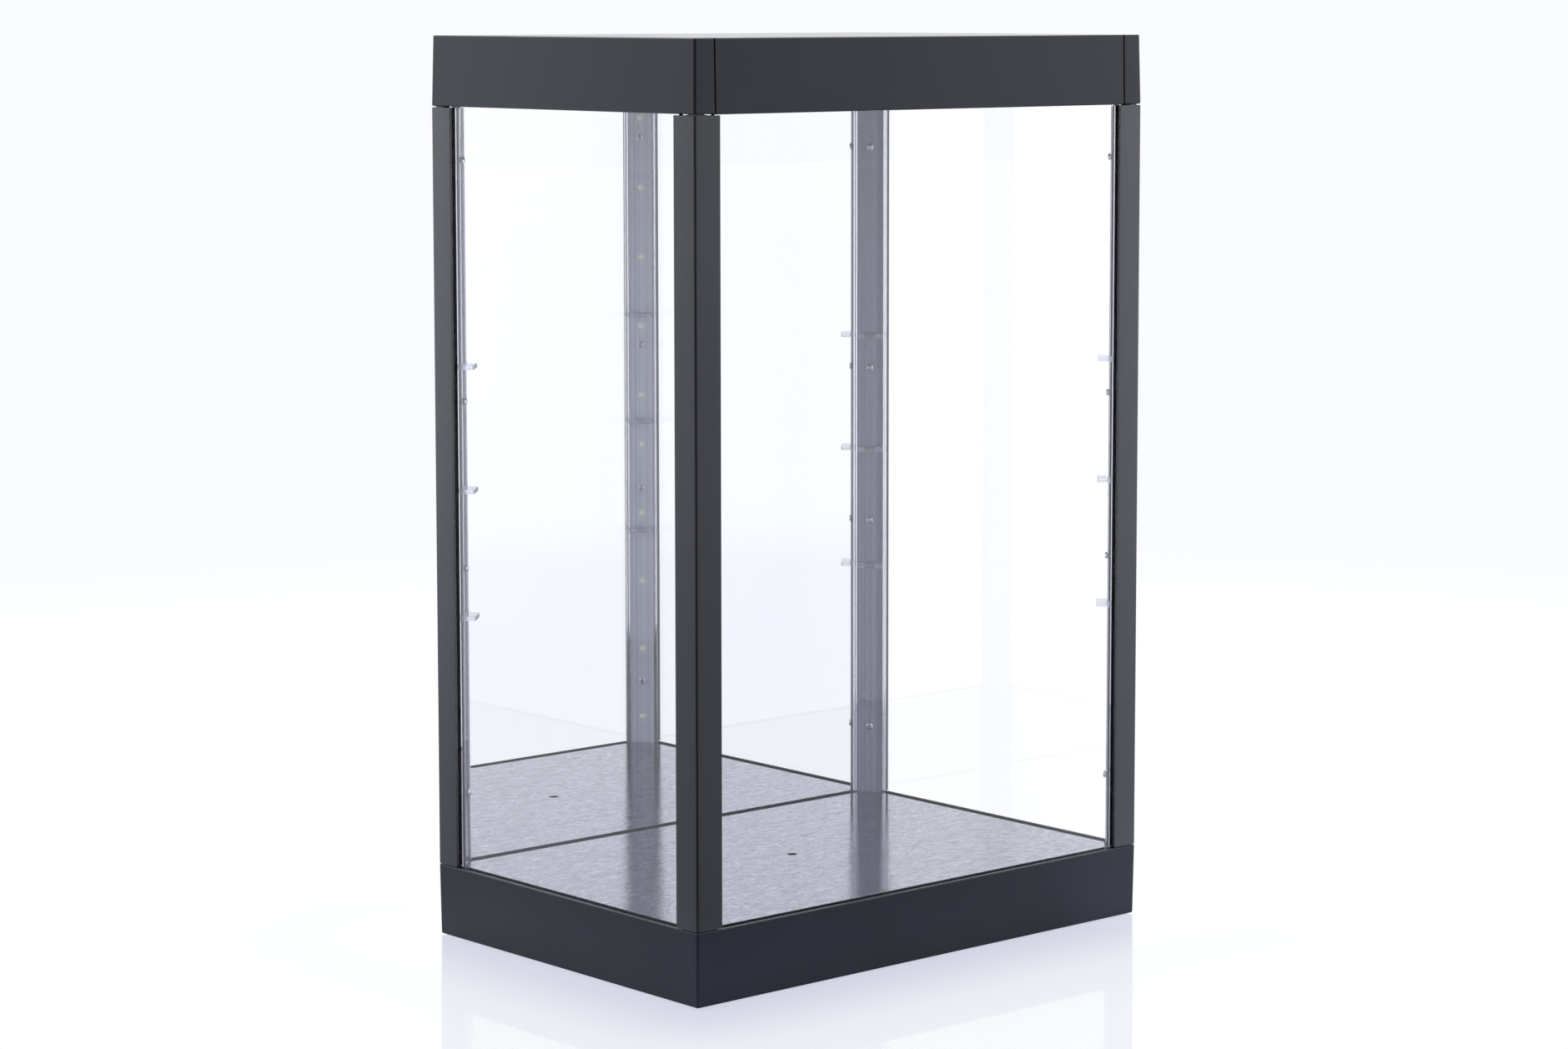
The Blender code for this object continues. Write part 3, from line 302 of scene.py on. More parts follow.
BLACK_SKIN = (0.006, 0.006, 0.009, 1.0)
BLACK_SKIN_LIGHT = (0.009, 0.009, 0.013, 1.0)
# The plinth's black is a bluer copy of the mouldings' black: a painted reflection of the bluish
# table.
PLINTH_BLUE_REFLECTION = (0.007, 0.007, 0.016, 1.0)
PLINTH_BLUE_REFLECTION_LIGHT = (0.011, 0.011, 0.021, 1.0)
BLACK_SHEEN = (0.88, 0.91, 1.0, 1.0)
RUBBER_BLACK = (0.014, 0.014, 0.015, 1.0)
RUBBER_DUSTY = (0.040, 0.039, 0.038, 1.0)
DUST_GREY = (0.30, 0.30, 0.31, 1.0)
CLOUD_ENDS = (0.3, 0.7)
EDGE_ROUNDING = 0.00022
EDGE_STEPS = 2
FLAT_ANGLE = math.radians(0.5)
SHARP_ANGLE = math.radians(32)
WELD_DISTANCE = 0.000002
CORNERS = ("front_left", "front_right", "rear_left", "rear_right")

# Every range of roughness lies above 0.28 or below 0.27: one that crosses 0.274 shows lines
# in a denoised picture
SATIN = (0.285, 0.33)
SATIN_GRAIN = (2600.0, 0.000006)


def new_group(name, inputs, outputs):
    """A shader node group with named number inputs and number outputs."""
    group = bpy.data.node_groups.new(name, "ShaderNodeTree")
    for label, value in inputs.items():
        made = group.interface.new_socket(
            label, in_out="INPUT", socket_type="NodeSocketFloat")
        made.default_value = value
    for label in outputs:
        group.interface.new_socket(label, in_out="OUTPUT", socket_type="NodeSocketFloat")
    return group, add_node(group, "NodeGroupInput"), add_node(group, "NodeGroupOutput")


def use_group(tree, group, settings):
    """A node that uses a shader node group, with its inputs set."""
    return add_node(tree, "ShaderNodeGroup", settings, node_tree=group)


# Skin of a moulding: fine grain from the tool and broad, faint clouds from cooling
mould_skin, skin_in, skin_out = new_group(
    "mould_skin", {"Grain Scale": 2600.0, "Cloud Scale": 28.0}, ("Grain", "Clouds"))
skin_place = add_node(mould_skin, "ShaderNodeTexCoord")
for label, scale, detail in (
        ("Grain", "Grain Scale", {"Detail": 3.0, "Roughness": 0.6}),
        ("Clouds", "Cloud Scale", {"Detail": 4.0, "Roughness": 0.55})):
    noise = add_node(mould_skin, "ShaderNodeTexNoise", detail)
    mould_skin.links.new(skin_place.outputs["Object"], noise.inputs["Vector"])
    mould_skin.links.new(skin_in.outputs[scale], noise.inputs["Scale"])
    mould_skin.links.new(noise.outputs["Fac"], skin_out.inputs[label])

# Dust: a thin scatter of pale specks, here and there, that lies only on what faces up
dust, dust_in, dust_out = new_group("dust", {"Speck Scale": 420.0, "Amount": 0.5}, ("Dust",))
dust_place = add_node(dust, "ShaderNodeTexCoord")
dust_specks = add_node(dust, "ShaderNodeTexVoronoi")
dust_areas = add_node(dust, "ShaderNodeTexNoise", {"Scale": 35.0, "Detail": 2.0})
dust_face = add_node(dust, "ShaderNodeNewGeometry")
dust_up = add_node(dust, "ShaderNodeSeparateXYZ")
dust.links.new(dust_place.outputs["Object"], dust_specks.inputs["Vector"])
dust.links.new(dust_place.outputs["Object"], dust_areas.inputs["Vector"])
dust.links.new(dust_in.outputs["Speck Scale"], dust_specks.inputs["Scale"])
dust.links.new(dust_face.outputs["Normal"], dust_up.inputs[0])
dust_share = dust_in.outputs["Amount"]
for mask, ends in (
        (dust_specks.outputs["Distance"], (0.10, 0.04)),
        (dust_areas.outputs["Fac"], (0.50, 0.68)),
        (dust_up.outputs["Z"], (0.6, 0.95))):
    dust_share = math_node(dust, "MULTIPLY", dust_share, spread(dust, mask, 0.0, 1.0, *ends))
dust.links.new(dust_share, dust_out.inputs["Dust"])


def mix_colours(tree, factor, first, second):
    """A colour between two, by a factor that varies over the surface."""
    mix = add_node(tree, "ShaderNodeMix", data_type="RGBA")
    feed(tree, [socket for socket in mix.inputs if socket.type == "RGBA"], (first, second))
    tree.links.new(factor, mix.inputs[0])
    return next(socket for socket in mix.outputs if socket.type == "RGBA")


def raise_surface(tree, shader, height, depth, strength=1.0):
    """A bump of the given depth, fed to the shader's normal."""
    bump = add_node(tree, "ShaderNodeBump", {"Strength": strength, "Distance": depth})
    tree.links.new(height, bump.inputs["Height"])
    tree.links.new(bump.outputs["Normal"], shader.inputs["Normal"])


def moulded_plastic(name, dark, light, roughness, grain, dust_amount, sheen=None):
    """Moulded or lacquered plastic with some dust; grain is the scale and depth of its skin."""
    look, tree, shader = new_look(name)
    if sheen:
        shader.inputs["Specular Tint"].default_value = sheen
    grain_scale, grain_depth = grain
    skin = use_group(tree, mould_skin, {"Grain Scale": grain_scale, "Cloud Scale": 26.0})
    specks = use_group(tree, dust, {"Amount": dust_amount})
    clouds = spread(tree, skin.outputs["Clouds"], 0.0, 1.0, *CLOUD_ENDS)
    clean = mix_colours(tree, clouds, dark, light)
    dusty = mix_colours(tree, specks.outputs["Dust"], clean, DUST_GREY)
    tree.links.new(dusty, shader.inputs["Base Color"])
    tree.links.new(
        spread(tree, skin.outputs["Clouds"], *roughness, *CLOUD_ENDS),
        shader.inputs["Roughness"])
    raise_surface(tree, shader, skin.outputs["Grain"], grain_depth)
    return look


def dress(name, look):
    """Gives a node of the case its finish."""
    node = nodes_of_case[name]
    node.data.materials.clear()
    node.data.materials.append(look)
    return node


def new_rule(name, inputs):
    """A Geometry Nodes group with a geometry and named inputs, and its two end nodes."""
    rule = bpy.data.node_groups.new(name, "GeometryNodeTree")
    rule.interface.new_socket("Geometry", in_out="INPUT", socket_type="NodeSocketGeometry")
    for label, kind in inputs.items():
        rule.interface.new_socket(label, in_out="INPUT", socket_type="NodeSocket" + kind)
    rule.interface.new_socket("Geometry", in_out="OUTPUT", socket_type="NodeSocketGeometry")
    return rule, add_node(rule, "NodeGroupInput"), add_node(rule, "NodeGroupOutput")


# Shades a moulding smooth, with its true edges kept sharp
smooth_tree, smooth_in, smooth_out = new_rule("smooth_by_angle", {"Sharp Angle": "Float"})
smooth_faces = add_node(
    smooth_tree, "GeometryNodeSetShadeSmooth", {"Shade Smooth": True}, domain="FACE")
smooth_edges = add_node(
    smooth_tree, "GeometryNodeSetShadeSmooth", {"Shade Smooth": False}, domain="EDGE")
edge_angle = add_node(smooth_tree, "GeometryNodeInputMeshEdgeAngle")
edge_is_sharp = add_node(smooth_tree, "FunctionNodeCompare", operation="GREATER_THAN")
smooth_tree.links.new(edge_angle.outputs["Unsigned Angle"], edge_is_sharp.inputs[0])
smooth_tree.links.new(smooth_in.outputs["Sharp Angle"], edge_is_sharp.inputs[1])
smooth_tree.links.new(smooth_in.outputs["Geometry"], smooth_faces.inputs["Geometry"])
smooth_tree.links.new(smooth_faces.outputs["Geometry"], smooth_edges.inputs["Geometry"])
smooth_tree.links.new(edge_is_sharp.outputs["Result"], smooth_edges.inputs["Selection"])
smooth_tree.links.new(smooth_edges.outputs["Geometry"], smooth_out.inputs["Geometry"])


def set_input(modifier, label, value):
    """Sets a geometry modifier's input by the identifier of its socket."""
    for item in modifier.node_group.interface.items_tree:
        if item.item_type == "SOCKET" and item.in_out == "INPUT" and item.name == label:
            modifier[item.identifier] = value


def ease_edges(thing, rounding=EDGE_ROUNDING):
    """Rounds the sharp edges of a moulding or a cut sheet a little."""
    weld = thing.modifiers.new("weld", "WELD")
    weld.merge_threshold = WELD_DISTANCE
    flatten = thing.modifiers.new("flatten", "DECIMATE")
    flatten.decimate_type = "DISSOLVE"
    flatten.angle_limit = FLAT_ANGLE
    ease = thing.modifiers.new("ease", "BEVEL")
    ease.width = rounding
    ease.segments = EDGE_STEPS
    ease.limit_method = "ANGLE"
    ease.angle_limit = SHARP_ANGLE
    ease.use_clamp_overlap = True
    shade = thing.modifiers.new("shade", "NODES")
    shade.node_group = smooth_tree
    set_input(shade, "Sharp Angle", SHARP_ANGLE)
    flat = thing.modifiers.new("flat_faces", "WEIGHTED_NORMAL")
    flat.keep_sharp = True


satin_black = moulded_plastic(
    "satin_black_moulding", BLACK_SKIN, BLACK_SKIN_LIGHT, SATIN, SATIN_GRAIN,
    dust_amount=0.35, sheen=BLACK_SHEEN)
# Plinth and bottom plate take the bluer black, a painted reflection of the table.
plinth_painted_reflection = moulded_plastic(
    "plinth_moulding_painted_reflection", PLINTH_BLUE_REFLECTION, PLINTH_BLUE_REFLECTION_LIGHT, SATIN, SATIN_GRAIN,
    dust_amount=0.35, sheen=BLACK_SHEEN)
for name in ("plinth", "bottom_plate"):
    ease_edges(dress(name, plinth_painted_reflection))

rubber_pad = moulded_plastic(
    "rubber_pad", RUBBER_BLACK, RUBBER_DUSTY, roughness=(0.75, 0.9), grain=(1800.0, 0.00004),
    dust_amount=0.6)
for corner in CORNERS:
    ease_edges(dress("foot_" + corner, rubber_pad))

# Floor plate
# A sheet of board faced with a silver foil, which is embossed with fine streaks along the
# width and finer wrinkles across them. It lies loose on the plinth's ledge.

FOIL_DARK = (0.12, 0.12, 0.17, 1.0)
FOIL_LIGHT = (0.42, 0.42, 0.53, 1.0)
FOIL_COLOUR_ENDS = (0.38, 0.62)
FOIL_ROUGHNESS = (0.03, 0.09)
FOIL_DEPTH = 0.00007
FOIL_BUMP_STRENGTH = 0.8
STREAK_SCALES = (170.0, 420.0, 240.0)
STREAK_TURN = 0.35
WRINKLE_SCALES = (760.0, 1300.0, 760.0)
WRINKLE_TURN = 0.60
WRINKLE_SHARE = 0.35
PLATE_ROUNDING = 0.0001

foil_look, foil, foil_shader = new_look("silver_foil_laminate")
foil_place = add_node(foil, "ShaderNodeTexCoord")


def foil_relief(scales, turn, detail):
    """Noise drawn out along one direction of the foil."""
    drawn_out = add_node(
        foil, "ShaderNodeMapping", {"Scale": scales, "Rotation": (0.0, 0.0, turn)})
    relief = add_node(foil, "ShaderNodeTexNoise", {"Scale": 1.0, **detail})
    foil.links.new(foil_place.outputs["Object"], drawn_out.inputs["Vector"])
    foil.links.new(drawn_out.outputs[0], relief.inputs["Vector"])
    return relief.outputs["Fac"]


foil_streaks = foil_relief(
    STREAK_SCALES, STREAK_TURN, {"Detail": 5.0, "Roughness": 0.62, "Distortion": 1.4})
foil_wrinkles = foil_relief(
    WRINKLE_SCALES, WRINKLE_TURN, {"Detail": 3.0, "Roughness": 0.6, "Distortion": 0.4})
foil_sum = add_node(foil, "ShaderNodeMix", {"Factor": WRINKLE_SHARE}, data_type="FLOAT")
foil.links.new(foil_streaks, foil_sum.inputs["A"])
foil.links.new(foil_wrinkles, foil_sum.inputs["B"])
foil_mask = spread(foil, foil_sum.outputs[0], 0.0, 1.0, *FOIL_COLOUR_ENDS)
foil.links.new(
    mix_colours(foil, foil_mask, FOIL_DARK, FOIL_LIGHT), foil_shader.inputs["Base Color"])
foil.links.new(
    spread(foil, foil_streaks, *FOIL_ROUGHNESS, *CLOUD_ENDS), foil_shader.inputs["Roughness"])
foil_shader.inputs["Metallic"].default_value = 1.0
raise_surface(foil, foil_shader, foil_sum.outputs[0], FOIL_DEPTH, FOIL_BUMP_STRENGTH)
ease_edges(dress("floor_plate", foil_look), PLATE_ROUNDING)

# Driver board, inlet, button and wires
# The circuit stands on the bottom plate: a green board with choke, capacitor, chip and
# headers. A plate in the plinth's back wall holds inlet and button. The wires are sleeved.

BOARD_GREEN = (0.012, 0.085, 0.035, 1.0)
BOARD_GREEN_LIGHT = (0.020, 0.120, 0.050, 1.0)
SLEEVE_GREY = (0.55, 0.55, 0.56, 1.0)
SLEEVE_LIGHT = (0.66, 0.66, 0.67, 1.0)
GLOSS_BLACK = (0.008, 0.008, 0.009, 1.0)
GLOSS_BLACK_LIGHT = (0.013, 0.013, 0.015, 1.0)

board_look = moulded_plastic(
    "green_board_lacquer", BOARD_GREEN, BOARD_GREEN_LIGHT, roughness=(0.30, 0.42),
    grain=(900.0, 0.00002), dust_amount=0.4)
sleeve_look = moulded_plastic(
    "wire_sleeve", SLEEVE_GREY, SLEEVE_LIGHT, roughness=(0.45, 0.55),
    grain=(1500.0, 0.00002), dust_amount=0.3)
gloss_black = moulded_plastic(
    "gloss_black_moulding", GLOSS_BLACK, GLOSS_BLACK_LIGHT, roughness=(0.16, 0.24),
    grain=(3000.0, 0.000006), dust_amount=0.3)
dress("driver_board", board_look)
ease_edges(dress("port_plate", satin_black))
dress("power_inlet", gloss_black)
dress("power_button", gloss_black)
for name in ("wire_left", "wire_right"):
    dress(name, sleeve_look)

# Posts
# Four pieces of one black extrusion, pushed onto the plinth. The die leaves very fine
# lines along the length.

EXTRUSION_DARK = (0.009, 0.009, 0.011, 1.0)
EXTRUSION_LIGHT = (0.014, 0.014, 0.016, 1.0)
EXTRUSION_SHEEN = (0.92, 0.94, 1.0, 1.0)
EXTRUSION_INDEX = 1.8
EXTRUSION_ROUGHNESS = (0.20, 0.25)
EXTRUSION_LINE_DEPTH = 0.000002
POST_ROUNDING = 0.00018

# Lines that a die leaves along the height
drawn_lines, lines_in, lines_out = new_group(
    "drawn_lines", {"Across": 2200.0, "Along": 6.0}, ("Lines",))
lines_place = add_node(drawn_lines, "ShaderNodeTexCoord")
lines_scale = add_node(drawn_lines, "ShaderNodeCombineXYZ")
lines_noise = add_node(
    drawn_lines, "ShaderNodeTexNoise", {"Scale": 1.0, "Detail": 2.0, "Roughness": 0.5})
feed(
    drawn_lines, lines_scale.inputs,
    [lines_in.outputs[label] for label in ("Across", "Across", "Along")])
drawn_lines.links.new(
    vector_node(
        drawn_lines, "MULTIPLY", lines_place.outputs["Object"], lines_scale.outputs[0]),
    lines_noise.inputs["Vector"])
drawn_lines.links.new(lines_noise.outputs["Fac"], lines_out.inputs["Lines"])

post_look, post_tree, post_shader = new_look("black_extrusion")
post_lines = use_group(post_tree, drawn_lines, {"Across": 3200.0, "Along": 5.0})
post_skin = use_group(post_tree, mould_skin, {"Cloud Scale": 18.0})
post_clouds = spread(post_tree, post_skin.outputs["Clouds"], 0.0, 1.0, *CLOUD_ENDS)
post_tree.links.new(
    mix_colours(post_tree, post_clouds, EXTRUSION_DARK, EXTRUSION_LIGHT),
    post_shader.inputs["Base Color"])
post_tree.links.new(
    spread(post_tree, post_lines.outputs["Lines"], *EXTRUSION_ROUGHNESS, *CLOUD_ENDS),
    post_shader.inputs["Roughness"])
post_shader.inputs["IOR"].default_value = EXTRUSION_INDEX
post_shader.inputs["Specular Tint"].default_value = EXTRUSION_SHEEN
raise_surface(post_tree, post_shader, post_lines.outputs["Lines"], EXTRUSION_LINE_DEPTH)
for corner in CORNERS:
    ease_edges(dress("post_" + corner, post_look), POST_ROUNDING)

# Light strips
# White lacquered boards, two end to end in each front post, with five lamps each. A lamp
# is a white package with a window of yellow phosphor, soldered beside its resistor.

BOARD_WHITE = (0.78, 0.82, 0.90, 1.0)
BOARD_WHITE_LIGHT = (0.87, 0.90, 0.97, 1.0)
PACKAGE_DARK = (0.74, 0.74, 0.70, 1.0)
PACKAGE_LIGHT = (0.84, 0.84, 0.80, 1.0)
PHOSPHOR_DARK = (0.80, 0.80, 0.10, 1.0)
PHOSPHOR_LIGHT = (0.94, 0.94, 0.28, 1.0)
# Colour of a painted glow: the lamps are off, and it only brightens their windows.
PHOSPHOR_PAINTED_GLOW = (0.80, 0.88, 0.10, 1.0)
PHOSPHOR_GRAIN_DEPTH = 0.00002
SOLDER_DARK = (0.50, 0.50, 0.52, 1.0)
SOLDER_LIGHT = (0.72, 0.72, 0.73, 1.0)
LAMP_ROUGHNESS = (0.29, 0.4)
STRIP_WIDTH = 0.0046
STRIP_BACK = 0.0095
STRIP_FACE = 0.0105
STRIP_PITCH = 0.0346
STRIP_LAMPS = 5
STRIP_LENGTH = 0.1584
STRIP_HOLE_RADIUS = 0.0012
HOLE_SIDES = 20
SCREW_LEVELS = (0.0632, 0.1613, 0.2336, 0.3369)
DIAGONAL = math.pi / 4

# Each strip's lower end and the middle of its lowest lamp
STRIP_LAYOUT = ((0.0349, 0.0447), (0.1936, 0.2081))

# Each corner's side in X and in Y, and the turn from the front left corner to it
CORNER_TURNS = {
    "front_left": (-1, -1, 0.0),
    "front_right": (1, -1, math.pi / 2),
    "rear_right": (1, 1, math.pi),
    "rear_left": (-1, 1, math.pi * 3 / 2),
}

# Each part's size and its middle from the lamp's, out of the board, across it and up it
LAMP_PARTS = {
    "package": ((0.0007, 0.0035, 0.0028), (0.00035, 0.0, 0.0)),
    "window": ((0.0001, 0.0024, 0.0020), (0.00074, 0.0, 0.0)),
    "solder": ((0.0003, 0.0030, 0.0036), (0.00015, 0.0, 0.0)),
    "resistor": ((0.0005, 0.0020, 0.0012), (0.00025, 0.0, 0.0034)),
    "resistor_ends": ((0.00045, 0.0026, 0.0012), (0.000225, 0.0, 0.0034)),
    "pads": ((0.00006, 0.0032, 0.0014), (0.00003, 0.0, -0.0030)),
}


def corner_matrix(corner):
    """From a corner's own frame, X along the diagonal towards the middle, to the case's."""
    side_x, side_y, turn = CORNER_TURNS[corner]
    place = Vector((side_x * HALF_WIDTH, side_y * HALF_DEPTH, 0.0))
    return Matrix.Translation(place) @ Matrix.Rotation(turn + DIAGONAL, 4, "Z")


def clouded_look(name, scales, dark, light, roughness, constants, ends=(0.0, 1.0), depth=0.0):
    """A material whose colour and roughness follow its skin's clouds, with a fine grain."""
    look, tree, shader = new_look(name)
    skin = use_group(tree, mould_skin, scales)
    tree.links.new(
        mix_colours(tree, skin.outputs["Clouds"], dark, light), shader.inputs["Base Color"])
    tree.links.new(
        spread(tree, skin.outputs["Clouds"], *roughness, *ends), shader.inputs["Roughness"])
    for label, value in constants.items():
        shader.inputs[label].default_value = value
    if depth:
        raise_surface(tree, shader, skin.outputs["Grain"], depth)
    return look, tree, shader


strip_look = moulded_plastic(
    "white_board_lacquer", BOARD_WHITE, BOARD_WHITE_LIGHT, roughness=(0.285, 0.35),
    grain=(1200.0, 0.00001), dust_amount=0.2)
package_look = moulded_plastic(
    "lamp_package", PACKAGE_DARK, PACKAGE_LIGHT, roughness=(0.28, 0.36),
    grain=(3000.0, 0.000004), dust_amount=0.0)
solder_look = clouded_look(
    "bright_solder", {"Grain Scale": 2200.0, "Cloud Scale": 700.0}, SOLDER_DARK, SOLDER_LIGHT,
    LAMP_ROUGHNESS, {"Metallic": 1.0}, depth=0.00004)[0]
phosphor_look, phosphor, phosphor_shader = new_look("lamp_phosphor")
phosphor_skin = use_group(
    phosphor, mould_skin, {"Grain Scale": 5200.0, "Cloud Scale": 900.0})
phosphor.links.new(
    mix_colours(phosphor, phosphor_skin.outputs["Grain"], PHOSPHOR_DARK, PHOSPHOR_LIGHT),
    phosphor_shader.inputs["Base Color"])
phosphor.links.new(
    spread(phosphor, phosphor_skin.outputs["Clouds"], *LAMP_ROUGHNESS),
    phosphor_shader.inputs["Roughness"])
phosphor_shader.inputs["Subsurface Weight"].default_value = 0.2
# Painted glow: the lamps are off, and the phosphor's emission only brightens their windows.
phosphor_shader.inputs["Emission Color"].default_value = PHOSPHOR_PAINTED_GLOW
phosphor_shader.inputs["Emission Strength"].default_value = 1.0
raise_surface(
    phosphor, phosphor_shader, phosphor_skin.outputs["Grain"], PHOSPHOR_GRAIN_DEPTH)
LAMP_LOOKS = {
    "package": package_look, "window": phosphor_look, "solder": solder_look,
    "resistor": gloss_black, "resistor_ends": solder_look, "pads": solder_look,
}

# A row of lamps: each part of a lamp is set out at an even pitch up the strip
lamp_row, row_in, row_out = new_rule("lamp_row", {
    "Lamps": "Int", "Pitch": "Float", "Lowest Lamp": "Vector",
    **{part + " size": "Vector" for part in LAMP_PARTS}})
row_join = add_node(lamp_row, "GeometryNodeJoinGeometry")
row_step = add_node(lamp_row, "ShaderNodeCombineXYZ")
row_line = add_node(lamp_row, "GeometryNodeMeshLine", mode="OFFSET")
lamp_row.links.new(row_in.outputs["Pitch"], row_step.inputs["Z"])
lamp_row.links.new(row_in.outputs["Lamps"], row_line.inputs["Count"])
lamp_row.links.new(row_in.outputs["Lowest Lamp"], row_line.inputs["Start Location"])
lamp_row.links.new(row_step.outputs[0], row_line.inputs["Offset"])
for part, (size, offset) in LAMP_PARTS.items():
    block = add_node(lamp_row, "GeometryNodeMeshCube")
    shift = add_node(lamp_row, "GeometryNodeTransform", {"Translation": offset})
    place = add_node(lamp_row, "GeometryNodeInstanceOnPoints")
    solid = add_node(lamp_row, "GeometryNodeRealizeInstances")
    finish = add_node(lamp_row, "GeometryNodeSetMaterial", {"Material": LAMP_LOOKS[part]})
    lamp_row.links.new(row_in.outputs[part + " size"], block.inputs["Size"])
    lamp_row.links.new(block.outputs["Mesh"], shift.inputs["Geometry"])
    lamp_row.links.new(row_line.outputs["Mesh"], place.inputs["Points"])
    lamp_row.links.new(shift.outputs["Geometry"], place.inputs["Instance"])
    lamp_row.links.new(place.outputs["Instances"], solid.inputs["Geometry"])
    lamp_row.links.new(solid.outputs["Geometry"], finish.inputs["Geometry"])
    lamp_row.links.new(finish.outputs["Geometry"], row_join.inputs["Geometry"])
lamp_row.links.new(row_join.outputs["Geometry"], row_out.inputs["Geometry"])


def settled_mesh(thing):
    """The mesh of an object with its modifiers turned into plain faces."""
    bpy.context.view_layer.update()
    depsgraph = bpy.context.evaluated_depsgraph_get()
    return bpy.data.meshes.new_from_object(thing.evaluated_get(depsgraph))


def round_hole(level, radius):
    """A round loop along a board, as pairs of along and across."""
    turns = [math.tau * i / HOLE_SIDES for i in range(HOLE_SIDES)]
    return [(level + radius * math.cos(turn), radius * math.sin(turn)) for turn in turns]


def square_hole(level, half_height, half_width):
    """A square loop along a board, as pairs of along and across."""
    sides = ((-1, -1), (1, -1), (1, 1), (-1, 1))
    return [(level + along * half_height, across * half_width) for along, across in sides]


def holed_plate(width, low, high, thickness, holes):
    """A flat board in the YZ plane with holes along its middle, its back at X zero."""
    curve = bpy.data.curves.new("board_outline", "CURVE")
    curve.dimensions = "2D"
    curve.fill_mode = "BOTH"
    curve.extrude = thickness / 2
    for loop in [square_hole((low + high) / 2, (high - low) / 2, width / 2)] + holes:
        spline = curve.splines.new("POLY")
        spline.points.add(len(loop) - 1)
        for point, (along, across) in zip(spline.points, loop):
            point.co = (along, across, 0.0, 1.0)
        spline.use_cyclic_u = True
    drawn = new_object("board_outline", curve)
    mesh = settled_mesh(drawn)
    bpy.data.objects.remove(drawn, do_unlink=True)
    # along, across, up become Z, Y, X
    mesh.transform(Matrix(
        ((0, 0, 1, thickness / 2), (0, 1, 0, 0), (1, 0, 0, 0), (0, 0, 0, 1))))
    shape = bmesh.new()
    shape.from_mesh(mesh)
    bmesh.ops.remove_doubles(shape, verts=shape.verts, dist=WELD_DISTANCE)
    bmesh.ops.recalc_face_normals(shape, faces=shape.faces)
    shape.to_mesh(mesh)
    shape.free()
    return mesh


def gather(name, meshes, body):
    """Joins meshes that are in place into one piece that rides on a body."""
    looks = []
    joined = bmesh.new()
    for mesh in meshes:
        start = len(joined.faces)
        joined.from_mesh(mesh)
        joined.faces.ensure_lookup_table()
        for face in joined.faces[start:]:
            look = mesh.materials[face.material_index]
            if look not in looks:
                looks.append(look)
            face.material_index = looks.index(look)
    merged = bpy.data.meshes.new(name)
    joined.to_mesh(merged)
    joined.free()
    for look in looks:
        merged.materials.append(look)
    piece = new_object(name, merged)
    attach(piece, body)
    return piece


strip_meshes = []
for corner in ("front_left", "front_right"):
    for low, lowest_lamp in STRIP_LAYOUT:
        high = low + STRIP_LENGTH
        holes = [
            round_hole(level, STRIP_HOLE_RADIUS) for level in SCREW_LEVELS if low < level < high]
        board = holed_plate(STRIP_WIDTH, low, high, STRIP_FACE - STRIP_BACK, holes)
        board.transform(Matrix.Translation((STRIP_BACK, 0.0, 0.0)))
        board.materials.append(strip_look)
        row = new_object("lamp_row", bpy.data.meshes.new("lamp_row"))
        rule = row.modifiers.new("lamp_row", "NODES")
        rule.node_group = lamp_row
        set_input(rule, "Lamps", STRIP_LAMPS)
        set_input(rule, "Pitch", STRIP_PITCH)
        set_input(rule, "Lowest Lamp", (STRIP_FACE, 0.0, lowest_lamp))
        for part, (size, offset) in LAMP_PARTS.items():
            set_input(rule, part + " size", size)
        lamps = settled_mesh(row)
        bpy.data.objects.remove(row, do_unlink=True)
        for mesh in (board, lamps):
            mesh.transform(corner_matrix(corner))
            strip_meshes.append(mesh)
light_strips = gather("light_strips", strip_meshes, "base")
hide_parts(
    "light_strip_left_lower", "light_strip_left_upper",
    "light_strip_right_lower", "light_strip_right_upper")

# Clear covers
# Clear acrylic extrusions with a slim rail along both edges close the posts towards the
# cabin. Behind each lies a strip of milky film that spreads the lamps' light.

ACRYLIC_INDEX = 1.49
FRONT_COVER_DARK = (0.89, 0.89, 0.97, 1.0)
FRONT_COVER_LIGHT = (0.95, 0.95, 1.0, 1.0)
# The rear covers' colours are a darker, bluer copy of the front ones: painted shade.
REAR_COVER_SHADED_DARK = (0.82, 0.82, 0.91, 1.0)
REAR_COVER_SHADED_LIGHT = (0.90, 0.90, 0.98, 1.0)
COVER_CLEARNESS = 0.97
COVER_ROUGHNESS = (0.0, 0.02)
COVER_ROUNDING = 0.00012
FRONT_FILM_DARK = (0.79, 0.83, 1.0, 1.0)
FRONT_FILM_LIGHT = (0.88, 0.92, 1.0, 1.0)
FRONT_FILM_COVERAGE = (0.50, 0.64)
# The rear film's colours are a darker, bluer copy of the front film's: painted shade.
REAR_FILM_SHADED_DARK = (0.60, 0.62, 0.94, 1.0)
REAR_FILM_SHADED_LIGHT = (0.72, 0.74, 1.0, 1.0)
REAR_FILM_COVERAGE = (0.10, 0.26)
FILM_ROUGHNESS = 0.35
FILM_BAND_ENDS = (0.44, 0.56)
FILM_BACK = 0.01278
FILM_THICKNESS = 0.00015
FILM_WIDTH = 0.0116
FILM_LOW = 0.0300
FILM_HIGH = 0.3590
FILM_HOLE_RADIUS = 0.0013
FILM_SLOT_HALF_HEIGHT = 0.0011
FILM_SLOT_HALF_WIDTH = 0.0023
TAB_LEVELS = (0.1401, 0.1952, 0.2486)


